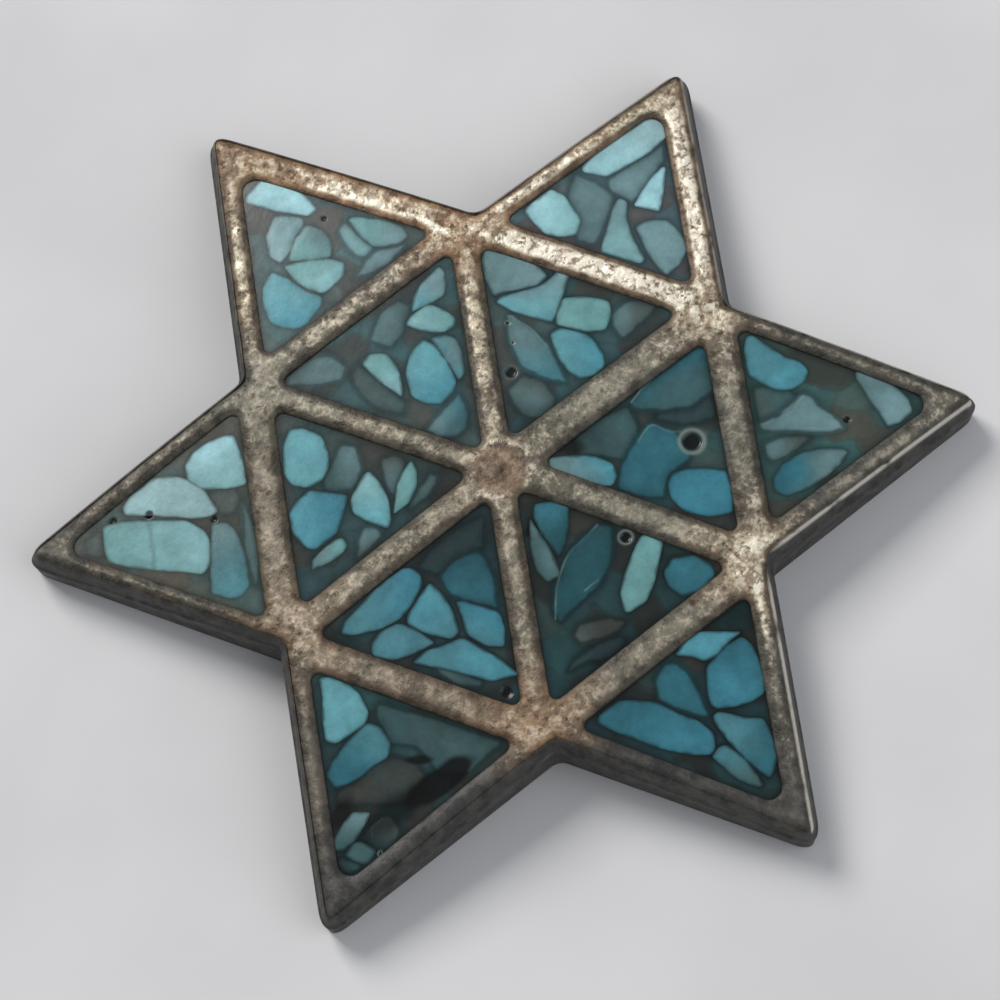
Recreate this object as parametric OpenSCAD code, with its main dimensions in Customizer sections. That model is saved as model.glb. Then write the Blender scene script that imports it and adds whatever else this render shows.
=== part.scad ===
// Six-pointed star pendant: a cast metal star with twelve three-cornered cells, each filled with dark resin
// round flat stone chips, and a plain tube on its hollow back for a chain.
// The star lies on its back rim, face up: X to the right, Y to the top point, Z up, the origin under the centre.

/* [Star] */
// Reach of each point: from the centre to where the middle lines of its two bars cross
point_reach = 24.9; // [20:0.1:40]
// Width of the bars along the star's edge, on the face
edge_bar_w = 1.35; // [1:0.05:2]
// Reach of the bar across each point's foot, inwards of the line between its notches
base_bar_in = 0.6; // [0.4:0.05:1]
// Reach of the same bar outwards of that line
base_bar_out = 1.1; // [0.4:0.05:1.4]
// Width of the spokes, on the face
spoke_w = 1.5; // [0.9:0.05:2.2]
// Radius of the points on the face
tip_r = 0.45; // [0.3:0.05:2]
// Radius of the notches between the points on the face
notch_r = 1.1; // [0.6:0.1:2.5]

/* [Height] */
// Height of the face above the back rim, at the points
rim_h = 2.6; // [2.5:0.1:5]
// Rise of the domed face from the points to the centre
dome_rise = 1.8; // [0.5:0.1:3]
// Reach of the side wall beyond the face's edge, at its ledge
ledge_out = 0.3; // [0.2:0.05:0.6]
// Depth of the ledge under the face
ledge_drop = 1.05; // [0.6:0.05:1.4]
// How far the side wall draws in again from the ledge to the back rim
foot_in = 0.2; // [0:0.05:0.3]

/* [Cells and back] */
// Depth of the cells under the face
cell_depth = 1.15; // [1.05:0.05:1.25]
// Metal left between a cell's floor and the hollow back
floor_t = 0.7; // [0.4:0.05:0.8]
// Width of the back rim, from the face's edge inwards
back_wall_w = 1.6; // [1.2:0.1:2.5]
// Corner radius of a cell at the tip of a point
tip_corner_r = 0.7; // [0.3:0.05:1.2]
// Radius of the other cell corners
cell_corner_r = 0.4; // [0.2:0.05:0.8]

/* [Resin and chips] */
// Depth of the resin's surface under the face
resin_drop = 0.3; // [0.1:0.01:0.35]
// Gap between the resin and the metal
resin_gap = 0.04; // [0.02:0.01:0.1]
// Thickness of the stone chips
chip_t = 0.65; // [0.4:0.05:0.7]
// Depth of the most sunken chips under the resin's surface
chip_sink = 0.3; // [0.1:0.05:0.35]
// Gap between a chip and the resin round it
chip_gap = 0.03; // [0.02:0.01:0.05]
// Least resin between two chips
chip_apart = 0.15; // [0.1:0.05:0.4]
// Least resin between a chip and a cell's wall
chip_margin = 0.22; // [0.15:0.01:0.5]

/* [Bail] */
// Outer diameter of the tube for the chain
bail_d = 1.9; // [1.7:0.1:2]
// Bore of the tube
bail_bore_d = 1.2; // [0.8:0.05:1.4]
// Length of the tube
bail_len = 6.5; // [4:0.5:10]
// How far the tube lies inwards of the line between the notches beside the top point
bail_in = 2.2; // [1.5:0.1:5]
// Gap between the tube and the back of the face
bail_gap = 0.04; // [0.02:0.01:0.1]

/* [Hidden] */
points = 6;
fold = 360 / points;
cell_side = point_reach / sqrt(3);
foot_line = point_reach / 2;
ball_facets = 240;
arc_steps = 6;
spare = 1;
least_r = 0.2;
least_edge = 0.05;
bail_facets = 48;
// The face is part of a sphere, and the cells, the resin and the hollow follow smaller ones about its centre
dome_r = (pow(point_reach, 2) + pow(dome_rise, 2)) / (2 * dome_rise);
dome_z = rim_h + dome_rise - dome_r;
resin_r = dome_r - resin_drop;
cell_floor_r = dome_r - cell_depth;
hollow_r = cell_floor_r - floor_t;
top_z = rim_h + dome_rise + spare;
cell_foot_z = rim_h - cell_depth - spare;
bail_y = foot_line - bail_in;
bail_z = dome_z + sqrt(pow(hollow_r - bail_d / 2 - bail_gap, 2) - pow(bail_y, 2) - pow(bail_len / 2, 2));

// How far each point's two edges stand out from their regular lines, as shares of edge_bar_w, point by point,
// clockwise from the top
//  right  left
edge_shifts = [
  [ .11, -.33],
  [-.44,  .07],
  [-.37, -.07],
  [-.33,  .07],
  [ .00, -.37],
  [ .33, -.22]];
// How far the walls of each outer cell stand in from theirs, as shares of edge_bar_w
//   foot  right  left
point_shifts = [
  [ .11,  .00,  .22],
  [ .07,  .37, -.33],
  [-.07,  .07,  .00],
  [ .00,  .15, -.26],
  [-.11, -.22,  .00],
  [-.11,  .00,  .15]];
// How far the walls of each inner cell stand in from theirs, as shares of spoke_w
//   foot   left  right
inner_shifts = [
  [ .00,  .00,  .23],
  [ .00,  .17,  .27],
  [ .10, -.07, -.07],
  [ .07,  .07,  .00],
  [ .23,  .10,  .00],
  [ .00,  .00,  .00]];

// Stone chips of each cell, with the cell's point of the star upwards. x and y are a chip's middle, from the
// star's centre, long and wide its size, all as shares of the cell's side. turn is the angle of its length from
// the x axis, taper how much its far end narrows, slant how far its two ends lean over, tip the length of its
// pointed ends as a share of half its length, and sink its depth as a share of chip_sink.
//   x      y      long  wide  turn taper slant tip  sink
point_chips = [
  [[-.044, 1.395, .300, .105,  58, .00, -.3, .12, 0],
   [ .120, 1.295, .205, .095,  90, .85,  .0, .04, 0],
   [ .044, 1.325, .235, .140,  69, .70,  .0, .10, 0],
   [-.205, 1.040, .190, .135, -20, .15,  .3, .30, 0],
   [ .215, 1.068, .235, .155, -38, .05,  .2, .35, 0],
   [ .060, 1.073, .225, .140, 108, .60,  .3, .10, 0],
   [-.090, 1.110, .270, .170, -58, .20,  .0, .30, 1]],
  [[-.090, 1.437, .250, .125, 210, .55,  .0, .25, 0],
   [-.262, 1.058, .270, .150,  45, .00, -.2, .35, 0],
   [ .175, 1.115, .285, .135, 112, .45,  .1, .30, 0],
   [ .070, 1.060, .175, .085, 101, .80,  .2, .05, 0],
   [-.040, 1.110, .300, .180,  79, .75, -.2, .06, .3],
   [-.115, 1.275, .220, .130,   8, .20,  .2, .30, 1]],
  [[ .165, 1.132, .400, .155, 122, .20,  .4, .15, 0],
   [-.165, 1.143, .240, .185, -12, .10,  .4, .15, 0],
   [-.165,  .985, .250, .100, -18, .20,  .3, .30, 0],
   [-.062, 1.355, .300, .120,  96, .30,  .2, .45, 0],
   [ .040, 1.414, .195, .075, 101, .30,  .1, .20, 0],
   [ .035, 1.075, .235, .120, 100, .45,  .1, .35, 0]],
  [[ .224, 1.060, .240, .165, -62, .10,  .3, .25, 0],
   [ .095, 1.182, .265, .150,  66, .25, -.2, .35, 0],
   [ .017, 1.453, .180, .070,  76, .15, -.3, .12, 0],
   [-.037, 1.530, .120, .090,  55, .00,  .2, .15, 0],
   [-.085, 1.410, .140, .110, -75, .40,  .0, .25, 0],
   [-.030, 1.270, .300, .120,  32, .20,  .2, .30, 1],
   [-.140, 1.055, .370, .160, -10, .20,  .1, .35, .8]],
  [[-.055, 1.298, .385, .170,  72, .15,  .0, .12, 0],
   [ .225, 1.035, .205, .200,  95, .50,  .0, .15, 0],
   [ .122, 1.237, .330, .140,  77, .10, -.1, .30, 0],
   [-.160, 1.043, .290, .135,  -4, .15,  .0, .20, 0],
   [-.110,  .952, .240, .040,  -2, .40,  .0, .30, .6],
   [ .065, 1.027, .100, .070, -10, .10,  .1, .30, 1],
   [ .008, 1.527, .100, .065,   0, .00,  .0, .20, 1]],
  [[ .055, 1.420, .255, .125, -66, .40,  .2, .15, 0],
   [-.025, 1.300, .170, .140,  25, .10, -.2, .30, 0],
   [-.187, 1.062, .235, .185, -75, .00,  .1, .35, 0],
   [-.022, 1.085, .220, .140, -38, .05,  .0, .25, 0],
   [ .260, 1.070, .235, .110, 114, .30,  .1, .20, 0],
   [ .175,  .967, .200, .055,  -2, .00,  .0, .50, 0],
   [ .022, 1.190, .165, .130, -35, .10,  .2, .25, .3],
   [ .165, 1.100, .190, .075,  82, .20,  .0, .20, .3]]];
inner_chips = [
  [[-.108,  .720, .205, .190,  71, .75, -.3, .06, 0],
   [-.060,  .497, .350, .110, -31, .30,  .2, .45, 0],
   [ .088,  .540, .215, .165, -25, .15,  .1, .40, 0],
   [ .060,  .694, .170, .100,  21, .00,  .0, .08, 0],
   [-.255,  .732, .175, .260, -93, .75,  .0, .10, 0],
   [ .238,  .745, .140, .145, -80, .70,  .2, .15, 0],
   [ .006,  .325, .170, .140, -80, .15,  .0, .35, .6]],
  [[ .190,  .712, .215, .165,  80, .05,  .2, .40, 0],
   [ .037,  .290, .240, .115, 250, .60, -.2, .25, 0],
   [-.250,  .685, .300, .150, -57, .30,  .0, .30, .5],
   [-.065,  .410, .240, .160, -62, .20,  .1, .30, .4],
   [ .050,  .565, .250, .190, -50, .10,  .1, .35, .7],
   [-.150,  .765, .150, .110,   0, .20,  .2, .30, 1]],
  [[-.150,  .628, .275, .105,  32, .05, -.2, .12, 0],
   [-.275,  .745, .170, .120,  -8, .10,  .2, .15, 0],
   [ .085,  .325, .260, .085, 252, .60,  .0, .10, 0],
   [-.010,  .295, .220, .115,  66, .20,  .2, .30, .2],
   [ .000,  .480, .380, .150,  20, .35,  .0, .30, .8],
   [ .180,  .772, .260, .060,  -8, .30,  .0, .30, 1],
   [ .085,  .712, .240, .075, -24, .20,  .0, .35, 1]],
  [[-.145,  .713, .400, .125,  13, .60,  .3, .20, 0],
   [ .100,  .738, .235, .115,  36, .05, -.3, .20, 0],
   [ .220,  .612, .320, .140,  60, .30, -.2, .30, 0],
   [ .033,  .590, .185, .190, -74, .65,  .1, .15, 0],
   [-.150,  .572, .220, .125, -22, .10,  .3, .30, 0],
   [-.065,  .420, .185, .210, -80, .45, -.1, .20, .2],
   [-.140,  .787, .200, .050,   2, .20,  .3, .20, .2],
   [ .050,  .330, .280, .140,  68, .20,  .1, .30, 1]],
  [[ .190,  .710, .235, .170, -12, .05,  .2, .25, 0],
   [-.030,  .498, .210, .135,  -5, .40, -.1, .30, 0],
   [-.060,  .700, .240, .190, -48, .30,  .0, .30, 0],
   [ .008,  .355, .210, .070, -27, .20,  .2, .25, 0],
   [-.207,  .670, .160, .080, -57, .00,  .2, .20, .2],
   [ .095,  .585, .170, .120, -50, .20,  .2, .30, 1],
   [ .080,  .395, .130, .080,   0, .20,  .2, .30, 1],
   [-.040,  .305, .210, .070, -47, .20,  .1, .30, .4],
   [-.185,  .535, .160, .060, -42, .30,  .2, .30, 1]],
  [[ .038,  .475, .225, .165,  80, .15, -.3, .30, 0],
   [ .170,  .648, .185, .100, -44, .10,  .1, .25, 0],
   [ .248,  .750, .200, .115,  33, .10, -.2, .25, 0],
   [-.065,  .583, .190, .115, 257, .70,  .1, .15, 0],
   [ .152,  .490, .200, .085,  84, .20,  .3, .20, .1],
   [-.275,  .750, .210, .110, -28, .10,  .1, .30, 0],
   [-.020,  .273, .180, .115,   3, .10,  .0, .25, 0],
   [-.165,  .500, .240, .090, -78, .10,  .1, .30, 1],
   [-.005,  .720, .210, .140,  25, .10,  .2, .30, 1]]];

function unit(v) = v / norm(v);
function heading(a) = [cos(a), sin(a)];
function turned(p, a) = [p[0] * cos(a) - p[1] * sin(a), p[0] * sin(a) + p[1] * cos(a)];
// Height of the sphere of radius r over a place on the plan
function ball_z(r, p) = dome_z + sqrt(r * r - p * p);

// Arc of radius r in the corner at p between its neighbours a and b, on the inside of a corner that bends left
function corner(a, p, b, r) =
  let (to_a = unit(a - p), to_b = unit(b - p), half = acos(to_a * to_b) / 2,
       middle = p + unit(to_a + to_b) * r / sin(half),
       bend = (cross(to_a, to_b) < 0 ? 1 : -1) * (90 - half),
       out = atan2(p[1] - middle[1], p[0] - middle[0]))
  [for (i = [0 : arc_steps]) middle + r * heading(out + bend * (2 * i / arc_steps - 1))];
// Outline with every corner rounded by its own radius
function rounded(corners, radii) =
  let (n = len(corners))
  [for (i = [0 : n - 1]) each corner(corners[(i + n - 1) % n], corners[i], corners[(i + 1) % n], radii[i])];

// Edge of a point, 0 its right and 1 its left one, as [angle that it faces away, its distance from the centre]
function star_edge(k, side) =
  [90 - fold * (k - 1) + (side == 0 ? -fold : fold), foot_line + edge_bar_w * (0.5 + edge_shifts[k - 1][side])];
// Outline of the whole star, anticlockwise from the top, moved outwards from the face's edge by out
function star_outline(out) =
  rounded(
    [for (i = [0 : points - 1]) let (k = (points - i) % points + 1, next = (points - 1 - i) % points + 1) each [
      crossing(star_edge(k, 0), star_edge(k, 1), -out),
      crossing(star_edge(k, 1), star_edge(next, 0), -out)]],
    [for (i = [0 : points - 1]) each [max(tip_r + out, least_r), max(notch_r - out, least_r)]]);

// Walls of a point's outer and inner cell, as [angle that the wall faces away from the cell, its distance from
// the centre], and the radii of the corners between each wall and the next
function point_walls(k) = [
  [-90, -foot_line - base_bar_out - edge_bar_w * point_shifts[k - 1][0]],
  [90 - fold, foot_line - edge_bar_w * (0.5 + point_shifts[k - 1][1])],
  [90 + fold, foot_line - edge_bar_w * (0.5 + point_shifts[k - 1][2])]];
point_radii = [cell_corner_r, tip_corner_r, cell_corner_r];
function inner_walls(k) = [
  [90, foot_line - base_bar_in - spoke_w * inner_shifts[k - 1][0]],
  [-90 - fold, -spoke_w * (0.5 + inner_shifts[k - 1][1])],
  [-90 + fold, -spoke_w * (0.5 + inner_shifts[k - 1][2])]];
inner_radii = [cell_corner_r, cell_corner_r, cell_corner_r];

// Where two walls cross when both are moved into the cell by in
function crossing(a, b, in) =
  let (to_a = heading(a[0]), to_b = heading(b[0]), from_a = a[1] - in, from_b = b[1] - in)
  [from_a * to_b[1] - from_b * to_a[1], to_a[0] * from_b - to_b[0] * from_a] / cross(to_a, to_b);
function cell_corners(walls, in) = [for (i = [0 : 2]) crossing(walls[i], walls[(i + 1) % 3], in)];
function cell_outline(walls, radii, in) =
  rounded(cell_corners(walls, in), [for (r = radii) max(r - in, least_r)]);
// Half-planes that hold a chip in its cell, as [direction, farthest reach]: the walls and the rounded corners
function chip_limits(walls, radii) =
  let (corners = cell_corners(walls, chip_margin))
  concat(
    [for (w = walls) [heading(w[0]), w[1] - chip_margin]],
    [for (i = [0 : 2]) let (out = unit(corners[i] - (corners[0] + corners[1] + corners[2]) / 3))
      [out, out * corners[i] - max(radii[i] - chip_margin, 0)]]);

// Six-cornered shard of one row of a chip table
function chip_shard(row) =
  let (half = row[2] * cell_side / 2, wide = row[3] * cell_side / 2, far = wide * (1 - row[5]),
       shoulder = half * (1 - row[7]), lean = row[6])
  [for (p = [[half, lean * far], [shoulder, far], [-shoulder, wide],
             [-half, -lean * wide], [-shoulder, -wide], [shoulder, -far]])
    [row[0], row[1]] * cell_side + turned(p, row[4])];
// Part of an outline on the near side of a line, and then only the corners that lie apart
function cut(outline, out, reach) =
  let (n = len(outline),
       kept = [for (i = [0 : n - 1])
         let (p = outline[i], q = outline[(i + 1) % n], a = out * p - reach, b = out * q - reach)
         each concat(a <= 0 ? [p] : [], a * b < 0 ? [p + (q - p) * a / (a - b)] : [])],
       m = len(kept))
  [for (i = [0 : m - 1]) if (norm(kept[i] - kept[(i + 1) % m]) > least_edge) kept[i]];
function held(outline, limits, i = 0) =
  i == len(limits) ? outline : held(cut(outline, limits[i][0], limits[i][1]), limits, i + 1);
// Direction out of an edge of an outline
function edge_out(outline, i) =
  let (along = outline[(i + 1) % len(outline)] - outline[i]) unit([along[1], -along[0]]);
// An outline cut clear of a neighbour, along the neighbour's edge that costs it least
function clear_of(outline, other) =
  let (edges = [for (i = [0 : len(other) - 1]) let (out = edge_out(other, i)) [-out, -out * other[i] - chip_apart]],
       costs = [for (e = edges) max([for (p = outline) e[0] * p]) - e[1]],
       least = min(costs))
  least <= 0 ? outline : cut(outline, edges[search(least, costs)[0]][0], edges[search(least, costs)[0]][1]);
function clear_of_all(outline, others, i = 0) =
  i == len(others) ? outline : clear_of_all(clear_of(outline, others[i]), others, i + 1);
// Outlines of a cell's chips: each is held in the cell and cut clear of the ones before it
function chip_outlines(rows, limits, done = []) =
  len(done) == len(rows) ? done
  : chip_outlines(rows, limits, concat(done, [clear_of_all(held(chip_shard(rows[len(done)]), limits), done)]));
// A convex outline with every edge moved outwards
function grown(outline, by) =
  let (n = len(outline))
  [for (i = [0 : n - 1]) let (a = edge_out(outline, (i + n - 1) % n), b = edge_out(outline, i))
    outline[i] + (a + b) * by / (1 + a * b)];

function point_outlines(k) = chip_outlines(point_chips[k - 1], chip_limits(point_walls(k), point_radii));
function inner_outlines(k) = chip_outlines(inner_chips[k - 1], chip_limits(inner_walls(k), inner_radii));

// Sphere about the face's centre, with its poles turned away from the star
module ball(r) translate([0, 0, dome_z]) rotate([90, 0, 0]) sphere(r = r, $fn = ball_facets);
// Straight walls on an outline, from under the cells to above the face
module walls_on(outline) translate([0, 0, cell_foot_z]) linear_extrude(top_z - cell_foot_z) polygon(outline);
module at_point(k) rotate(-fold * (k - 1)) children();

// Solid star with its sloping side wall, taller than the domed face that trims it
module star_body() {
  rise = spare / 4;
  loops = [
    [for (p = star_outline(ledge_out - foot_in)) [p[0], p[1], 0]],
    [for (p = star_outline(ledge_out)) [p[0], p[1], ball_z(dome_r - ledge_drop, p)]],
    [for (p = star_outline(-ledge_out * rise / ledge_drop)) [p[0], p[1], ball_z(dome_r + rise, p)]],
    [for (p = star_outline(-ledge_out * rise / ledge_drop)) [p[0], p[1], top_z]]];
  n = len(loops[0]);
  last = (len(loops) - 1) * n;
  foot_middle = last + n;
  sides = [for (j = [0 : len(loops) - 2], i = [0 : n - 1])
    let (a = j * n + i, b = j * n + (i + 1) % n) each [[a, a + n, b + n], [a, b + n, b]]];
  caps = [for (i = [0 : n - 1]) let (next = (i + 1) % n) each [
    [i, next, foot_middle],
    [last + next, last + i, foot_middle + 1]]];
  polyhedron(concat([for (loop = loops) each loop], [[0, 0, 0], [0, 0, top_z]]), concat(sides, caps));
}

module star_frame() color([0.55, 0.49, 0.42])
  difference() {
    intersection() {
      star_body();
      ball(dome_r);
    }
    difference() {
      for (k = [1 : points]) at_point(k) {
        walls_on(cell_outline(point_walls(k), point_radii, 0));
        walls_on(cell_outline(inner_walls(k), inner_radii, 0));
      }
      ball(cell_floor_r);
    }
    intersection() {
      translate([0, 0, -spare]) linear_extrude(top_z) polygon(star_outline(-back_wall_w));
      ball(hollow_r);
    }
  }

module back_bail() color([0.62, 0.56, 0.48])
  translate([-bail_len / 2, bail_y, bail_z]) rotate([0, 90, 0])
    difference() {
      cylinder(d = bail_d, h = bail_len, $fn = bail_facets);
      translate([0, 0, -spare]) cylinder(d = bail_bore_d, h = bail_len + 2 * spare, $fn = bail_facets);
    }

// Resin of one cell, with a pocket for each of its chips
module resin(cell, outlines) color([0.17, 0.19, 0.19])
  difference() {
    intersection() {
      walls_on(cell);
      ball(resin_r);
    }
    ball(cell_floor_r + resin_gap);
    difference() {
      for (outline = outlines) walls_on(grown(outline, chip_gap));
      ball(resin_r - chip_t - chip_gap);
    }
  }
module point_resin(k) resin(cell_outline(point_walls(k), point_radii, resin_gap), point_outlines(k));
module inner_resin(k) resin(cell_outline(inner_walls(k), inner_radii, resin_gap), inner_outlines(k));

// Chips of one cell, flush with the resin or sunk into it
module chips(outlines, rows) color([0.30, 0.62, 0.63])
  for (i = [0 : len(rows) - 1])
    difference() {
      intersection() {
        walls_on(outlines[i]);
        ball(resin_r - rows[i][8] * chip_sink);
      }
      ball(resin_r - chip_t);
    }
module point_stones(k) chips(point_outlines(k), point_chips[k - 1]);
module inner_stones(k) chips(inner_outlines(k), inner_chips[k - 1]);

star_frame();
back_bail();
for (k = [1 : points]) at_point(k) {
  point_resin(k);
  inner_resin(k);
  point_stones(k);
  inner_stones(k);
}
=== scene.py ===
import bmesh
import bpy
import numpy as np
from mathutils import Matrix


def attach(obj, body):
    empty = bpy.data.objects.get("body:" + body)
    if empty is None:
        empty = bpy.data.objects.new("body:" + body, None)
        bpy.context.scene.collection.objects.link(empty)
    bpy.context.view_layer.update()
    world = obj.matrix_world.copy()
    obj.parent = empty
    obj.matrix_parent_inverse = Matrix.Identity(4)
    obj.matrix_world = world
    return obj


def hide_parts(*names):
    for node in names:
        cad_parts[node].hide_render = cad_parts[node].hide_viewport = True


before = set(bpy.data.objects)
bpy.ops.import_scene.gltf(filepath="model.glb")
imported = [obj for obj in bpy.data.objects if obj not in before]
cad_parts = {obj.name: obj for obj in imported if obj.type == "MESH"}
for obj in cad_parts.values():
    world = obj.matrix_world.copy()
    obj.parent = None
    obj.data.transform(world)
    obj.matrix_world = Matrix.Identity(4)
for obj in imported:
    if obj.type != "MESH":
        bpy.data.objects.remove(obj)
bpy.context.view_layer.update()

# The star's points and their numbers, and the turn from one to the next
POINTS = 6
NUMBERS = range(1, POINTS + 1)
FOLD = 360 / POINTS

# Millimetres, in which all sizes are given: the reach of a point, and the side of a cell's triangle
MM = 0.001
POINT_REACH = 24.9
CELL_SIDE = POINT_REACH / np.sqrt(3)

# Height of the side wall at the points, rise of the dome over it, and the dome's radius and centre
RIM_H = 2.6
DOME_RISE = 1.8
DOME_R = (POINT_REACH ** 2 + DOME_RISE ** 2) / (2 * DOME_RISE)
DOME_Z = RIM_H + DOME_RISE - DOME_R

# Depth of the hollow back's roof under the face, width of the back's rim, and how far the ledge stands out
HOLLOW_DROP = 1.85
BACK_WALL_W = 1.6
LEDGE_OUT = 0.3

# Radii of the tips and notches, and the least that is left of them when the star's edge is moved
TIP_R = 0.45
NOTCH_R = 1.1
LEAST_R = 0.2

# How much farther from a tip a quadratic curve starts than an arc that cuts off as much of it
TIP_EASE = 4 / 3

# Share of the reach past which a corner of the casting belongs to a point's tip
TIP_FROM = 0.75

# Depths of a pocket's floor and of the resin under the face, and the gap round a resin
CELL_DEPTH = 1.15
RESIN_DROP = 0.3
RESIN_GAP = 0.04

# Samples along one side of a cell, along one side of a resin surface, and round a chip
SIDE_STEPS = 100
RESIN_STEPS = 150
CHIP_STEPS = 90

# Directions in which a hull is looked for, and the most of a side that a rounded corner takes up
HULL_STEPS = 1440
MOST_CUT = 0.45

# Factors of the wave whose fractions are the random numbers: of a square's x and y, the seed and the height
CHANCE_X = 127.1
CHANCE_Y = 311.7
CHANCE_SEED = 74.7
CHANCE_HEIGHT = 43758.5453


def heading(angle):
    """Unit vector at an angle in degrees from the x axis."""
    return np.array([np.cos(np.radians(angle)), np.sin(np.radians(angle))])


def turned(points, angle):
    """Plan points turned anticlockwise about the origin by an angle in degrees."""
    c, s = heading(angle)
    return points @ np.array([[c, s], [-s, c]])


def dome(plan, drop=0.0):
    """Height of the face's sphere, made smaller by drop, over points of the plan."""
    return DOME_Z + np.sqrt((DOME_R - drop) ** 2 - (plan ** 2).sum(-1))


def smooth(low, high, value):
    """0 below low, 1 above high and an S-curve between them; low may be the larger."""
    t = np.clip((value - low) / (high - low), 0, 1)
    return t * t * (3 - 2 * t)


def bell(value, width):
    """1 where the value is 0, falling both ways as exp(-x * x), where x is the value in widths."""
    return np.exp(-(value / width) ** 2)


def mixed(colour, other, amount):
    """A colour moved towards another by an amount from 0 to 1 at each point."""
    return colour + (other - colour) * amount[..., None]


def chance(square, seed):
    """A fixed random number from 0 to 1 for each square of a lattice: the fraction of a large sine."""
    phase = square[..., 0] * CHANCE_X + square[..., 1] * CHANCE_Y + seed * CHANCE_SEED
    wave = np.sin(phase) * CHANCE_HEIGHT
    return wave - np.floor(wave)


def grain(plan, size, seed):
    """Smooth noise from 0 to 1: random values on a square lattice of a size, blended with S-curves."""
    p = np.asarray(plan) / size + 17.3 * (seed + 1)
    square = np.floor(p)
    t = p - square
    t = t * t * (3 - 2 * t)
    low = chance(square, seed) * (1 - t[..., 0]) + chance(square + [1, 0], seed) * t[..., 0]
    high = chance(square + [0, 1], seed) * (1 - t[..., 0]) + chance(square + [1, 1], seed) * t[..., 0]
    return low * (1 - t[..., 1]) + high * t[..., 1]


def grains(plan, size, seed):
    """Three octaves of grain, each half as large and half as strong as the one before."""
    octaves = [grain(plan, size / 2 ** n, seed + n) / 2 ** n for n in range(3)]
    return (octaves[0] + octaves[1] + octaves[2]) / (1 + 1 / 2 + 1 / 4)


def crossing(a, b, out=0.0):
    """Where two lines [angle they face, distance from the centre] cross when both are moved outwards."""
    (ax, ay), (bx, by) = heading(a[0]), heading(b[0])
    da, db = a[1] + out, b[1] + out
    return np.array([da * by - db * ay, ax * db - bx * da]) / (ax * by - ay * bx)


def along(path, count):
    """Points at equal steps along an open path, from its first point to its last."""
    steps = np.r_[0, np.cumsum(np.linalg.norm(np.diff(path, axis=0), axis=1))]
    at = np.linspace(0, steps[-1], count)
    return np.stack([np.interp(at, steps, path[:, i]) for i in range(2)], 1)


def beside(plan, a, b):
    """Nearest place to each plan point on the line from a to b, as a share of it, and the distance."""
    t = np.clip((plan - a) @ (b - a) / ((b - a) @ (b - a)), 0, 1)
    return t, np.linalg.norm(plan - a - t[..., None] * (b - a), axis=-1)


def hull(points):
    """Corners of plan points' convex hull, anticlockwise: the farthest points in HULL_STEPS directions."""
    around = np.linspace(-np.pi, np.pi, HULL_STEPS, endpoint=False)
    far = np.argmax(points @ np.array([np.cos(around), np.sin(around)]), axis=0)
    return points[far[far != np.roll(far, 1)]]


def edges_of(outline):
    """Outward normals and distances of a convex outline's edges."""
    step = np.roll(outline, -1, 0) - outline
    out = np.stack([step[:, 1], -step[:, 0]], 1) / np.linalg.norm(step, axis=1)[:, None]
    return out, (out * outline).sum(1)


def beyond(plan, outline, round_r=0.0):
    """Distance outside a convex outline, negative inside: the largest distance beyond any edge. With
    round_r the largest is a soft one, log-sum-exp, which rounds the corners."""
    out, reach = edges_of(outline)
    away = plan @ out.T - reach
    if not round_r:
        return away.max(-1)
    most = away.max(-1, keepdims=True)
    return most[..., 0] + round_r * np.log(np.exp((away - most) / round_r).sum(-1))


def corner_curves(corners, radius, count):
    """Quadratic curve of count points at each corner of a closed outline. It runs from one side to the
    other, starts and ends a radius away from the corner, or MOST_CUT of a short side, and heads for the
    corner at both ends."""
    before, after = np.roll(corners, 1, 0) - corners, np.roll(corners, -1, 0) - corners
    cut = [np.minimum(radius / np.linalg.norm(v, axis=1), MOST_CUT)[:, None] * v for v in (before, after)]
    start, middle, end = (corners + cut[0])[:, None], corners[:, None], (corners + cut[1])[:, None]
    t = np.linspace(0, 1, count)[None, :, None]
    return (1 - t) ** 2 * start + 2 * t * (1 - t) * middle + t ** 2 * end


def softened(corners, radius, count):
    """Closed outline of count points at equal steps, with its corners rounded."""
    curve = corner_curves(corners, radius, 7).reshape(-1, 2)
    return along(np.r_[curve, curve[:1]], count + 1)[:-1]


# Plan of the star, read from the CAD solids

def corners_of(node):
    """Corner points of a CAD node in millimetres, one for each place, and its triangles."""
    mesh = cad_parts[node].data
    points = np.empty(len(mesh.vertices) * 3)
    mesh.vertices.foreach_get("co", points)
    mesh.calc_loop_triangles()
    triangles = np.empty(len(mesh.loop_triangles) * 3, int)
    mesh.loop_triangles.foreach_get("vertices", triangles)
    places, index = np.unique(np.round(points.reshape(-1, 3) / MM, 4), axis=0, return_inverse=True)
    return places, index.reshape(-1)[triangles].reshape(-1, 3)


def point_angle(k):
    """Heading of point k, clockwise from the top."""
    return 90 - FOLD * (k - 1)


def star_edge(k, side, corners):
    """Line of a point's right (-1) or left (+1) edge on the face, found from the widest ledge there."""
    tip = corners[corners[:, :2] @ heading(point_angle(k)) > TIP_FROM * POINT_REACH][:, :2]
    faces = point_angle(k) + side * FOLD
    return [faces, (tip @ heading(faces)).max() - LEDGE_OUT]


FRAME_CORNERS = corners_of("star_frame")[0]
RIGHT = {k: star_edge(k, -1, FRAME_CORNERS) for k in NUMBERS}
LEFT = {k: star_edge(k, 1, FRAME_CORNERS) for k in NUMBERS}
CELLS = [(kind, k) for kind in ("point", "inner") for k in NUMBERS]


def cell_outline(kind, k):
    """Outline of a cell at the face: its resin's outline and the gap round it."""
    corners = hull(corners_of(f"{kind}_resin_{k}")[0][:, :2])
    out, reach = edges_of(corners)
    nearer = np.roll(out, 1, 0)
    grow = (out + nearer) / (1 + (out * nearer).sum(1))[:, None]
    return corners + RESIN_GAP * grow


OUTLINES = {(kind, k): cell_outline(kind, k) for kind, k in CELLS}


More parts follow.
